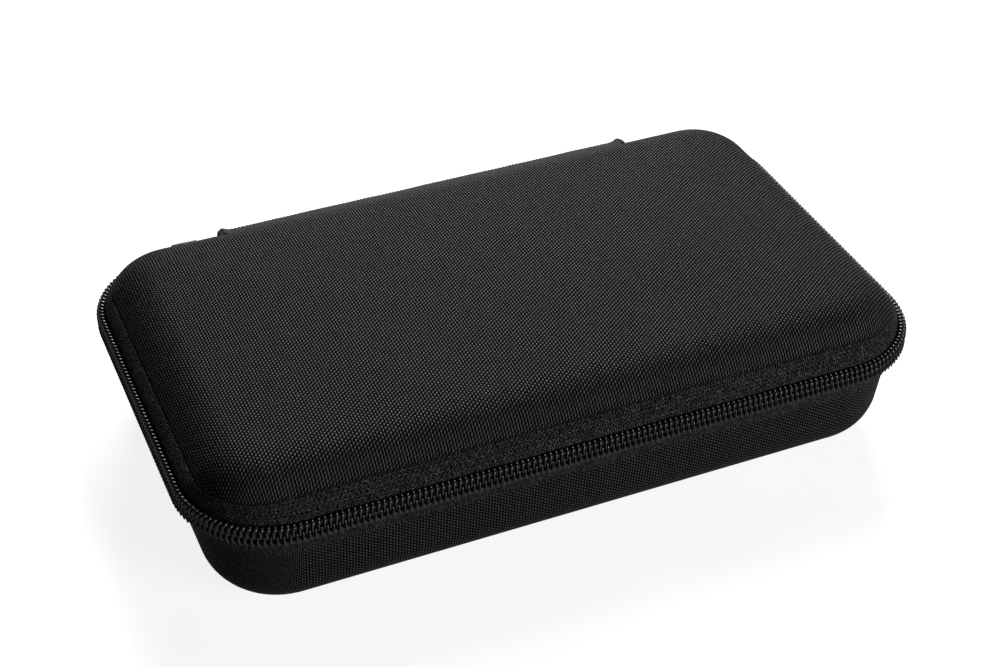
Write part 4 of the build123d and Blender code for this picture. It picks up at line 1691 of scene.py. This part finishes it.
def light(name, power, span, place):
    """Soft rectangular light aimed at the case."""
    lamp = bpy.data.lights.new(name, "AREA")
    lamp.shape = "RECTANGLE"
    lamp.size, lamp.size_y = span
    lamp.energy = power
    made = bpy.data.objects.new(name, lamp)
    bpy.context.scene.collection.objects.link(made)
    turn = (LIT_POINT - Vector(place)).to_track_quat("-Z", "Y")
    made.matrix_world = Matrix.Translation(place) @ turn.to_matrix().to_4x4()
    return made


# ================================================================ add-on
class CASE_OT_lid_shell(bpy.types.Operator):
    """Build the woven dome of the lid"""

    bl_idname = "case.lid_shell"
    bl_label = "Lid Shell"

    def execute(self, context):
        build_lid_shell(context.scene)
        return {"FINISHED"}


class CASE_OT_base_shell(bpy.types.Operator):
    """Build the woven tub of the base"""

    bl_idname = "case.base_shell"
    bl_label = "Base Shell"

    def execute(self, context):
        build_base_shell(context.scene)
        return {"FINISHED"}


class CASE_OT_zip_tapes(bpy.types.Operator):
    """Build the knitted tapes of both halves"""

    bl_idname = "case.zip_tapes"
    bl_label = "Zip Tapes"

    def execute(self, context):
        build_zip_tapes(context.scene)
        return {"FINISHED"}


class CASE_OT_zip_coils(bpy.types.Operator):
    """Build both rows of looped nylon wire"""

    bl_idname = "case.zip_coils"
    bl_label = "Zip Coils"

    def execute(self, context):
        build_zip_coils(context.scene)
        return {"FINISHED"}


class CASE_OT_coil_stitching(bpy.types.Operator):
    """Sew each row of loops to its tape"""

    bl_idname = "case.coil_stitching"
    bl_label = "Coil Stitching"

    def execute(self, context):
        build_coil_stitching(context.scene)
        return {"FINISHED"}


class CASE_OT_hinge_strip(bpy.types.Operator):
    """Build the webbing hinge with its overlocked edges and seams"""

    bl_idname = "case.hinge_strip"
    bl_label = "Hinge Strip"

    def execute(self, context):
        build_hinge_strip(context.scene)
        return {"FINISHED"}


class CASE_OT_slider(bpy.types.Operator):
    """Build the zip's slider"""

    bl_idname = "case.slider"
    bl_label = "Slider"

    def execute(self, context):
        build_slider(context.scene)
        return {"FINISHED"}


class CASE_OT_pull(bpy.types.Operator):
    """Build the slider's pull with its grip"""

    bl_idname = "case.pull"
    bl_label = "Pull"

    def execute(self, context):
        build_pull(context.scene)
        return {"FINISHED"}


class CASE_OT_lid_inside(bpy.types.Operator):
    """Line the lid and bind its rim"""

    bl_idname = "case.lid_inside"
    bl_label = "Lid Inside"

    def execute(self, context):
        build_lid_inside(context.scene)
        return {"FINISHED"}


class CASE_OT_base_inside(bpy.types.Operator):
    """Line the base and bind its rim"""

    bl_idname = "case.base_inside"
    bl_label = "Base Inside"

    def execute(self, context):
        build_base_inside(context.scene)
        return {"FINISHED"}


class CASE_OT_net_pocket(bpy.types.Operator):
    """Hang the net pocket in the lid"""

    bl_idname = "case.net_pocket"
    bl_label = "Net Pocket"

    def execute(self, context):
        build_net_pocket(context.scene)
        return {"FINISHED"}


class CASE_OT_foam_insert(bpy.types.Operator):
    """Build the slotted foam block and its pad"""

    bl_idname = "case.foam_insert"
    bl_label = "Foam Insert"

    def execute(self, context):
        build_foam_insert(context.scene)
        return {"FINISHED"}


class CASE_OT_stage(bpy.types.Operator):
    """Build the floor, the lights and the camera"""

    bl_idname = "case.stage"
    bl_label = "Stage"

    def execute(self, context):
        build_stage(context.scene)
        return {"FINISHED"}


class CASE_PT_panel(bpy.types.Panel):
    """Sizes, colours and building steps of the case"""

    bl_idname = "CASE_PT_panel"
    bl_label = "Harmonica Case"
    bl_space_type = "VIEW_3D"
    bl_region_type = "UI"
    bl_category = "Case"

    def draw(self, context):
        for name in SETTINGS:
            settings = getattr(context.scene, name)
            box = self.layout.box()
            box.label(text=settings.bl_rna.description)
            for prop in settings.bl_rna.properties:
                if prop.identifier not in ("name", "rna_type"):
                    box.prop(settings, prop.identifier)
        for kind in STEPS:
            self.layout.operator(kind.bl_idname)


SETTINGS = {
    "case_fabric": CaseFabric, "case_zip": CaseZip, "case_trim": CaseTrim,
    "case_inside": CaseInside, "case_stage": CaseStage,
}
STEPS = (
    CASE_OT_lid_shell,
    CASE_OT_base_shell,
    CASE_OT_zip_tapes,
    CASE_OT_zip_coils,
    CASE_OT_coil_stitching,
    CASE_OT_hinge_strip,
    CASE_OT_slider,
    CASE_OT_pull,
    CASE_OT_lid_inside,
    CASE_OT_base_inside,
    CASE_OT_net_pocket,
    CASE_OT_foam_insert,
    CASE_OT_stage,
)


def register():
    """Register the settings, the operators and the panel."""
    for kind in (*SETTINGS.values(), *STEPS, CASE_PT_panel):
        bpy.utils.register_class(kind)
    for name, kind in SETTINGS.items():
        setattr(bpy.types.Scene, name, bpy.props.PointerProperty(type=kind))


def unregister():
    """Remove everything that register added."""
    for name in SETTINGS:
        delattr(bpy.types.Scene, name)
    for kind in reversed((*SETTINGS.values(), *STEPS, CASE_PT_panel)):
        bpy.utils.unregister_class(kind)


def main():
    """Build the case step by step."""
    register()
    bpy.ops.case.lid_shell()
    bpy.ops.case.base_shell()
    bpy.ops.case.zip_tapes()
    bpy.ops.case.zip_coils()
    bpy.ops.case.coil_stitching()
    bpy.ops.case.hinge_strip()
    bpy.ops.case.slider()
    bpy.ops.case.pull()
    bpy.ops.case.lid_inside()
    bpy.ops.case.base_inside()
    bpy.ops.case.net_pocket()
    bpy.ops.case.foam_insert()
    bpy.ops.case.stage()


if __name__ == "__main__":
    main()
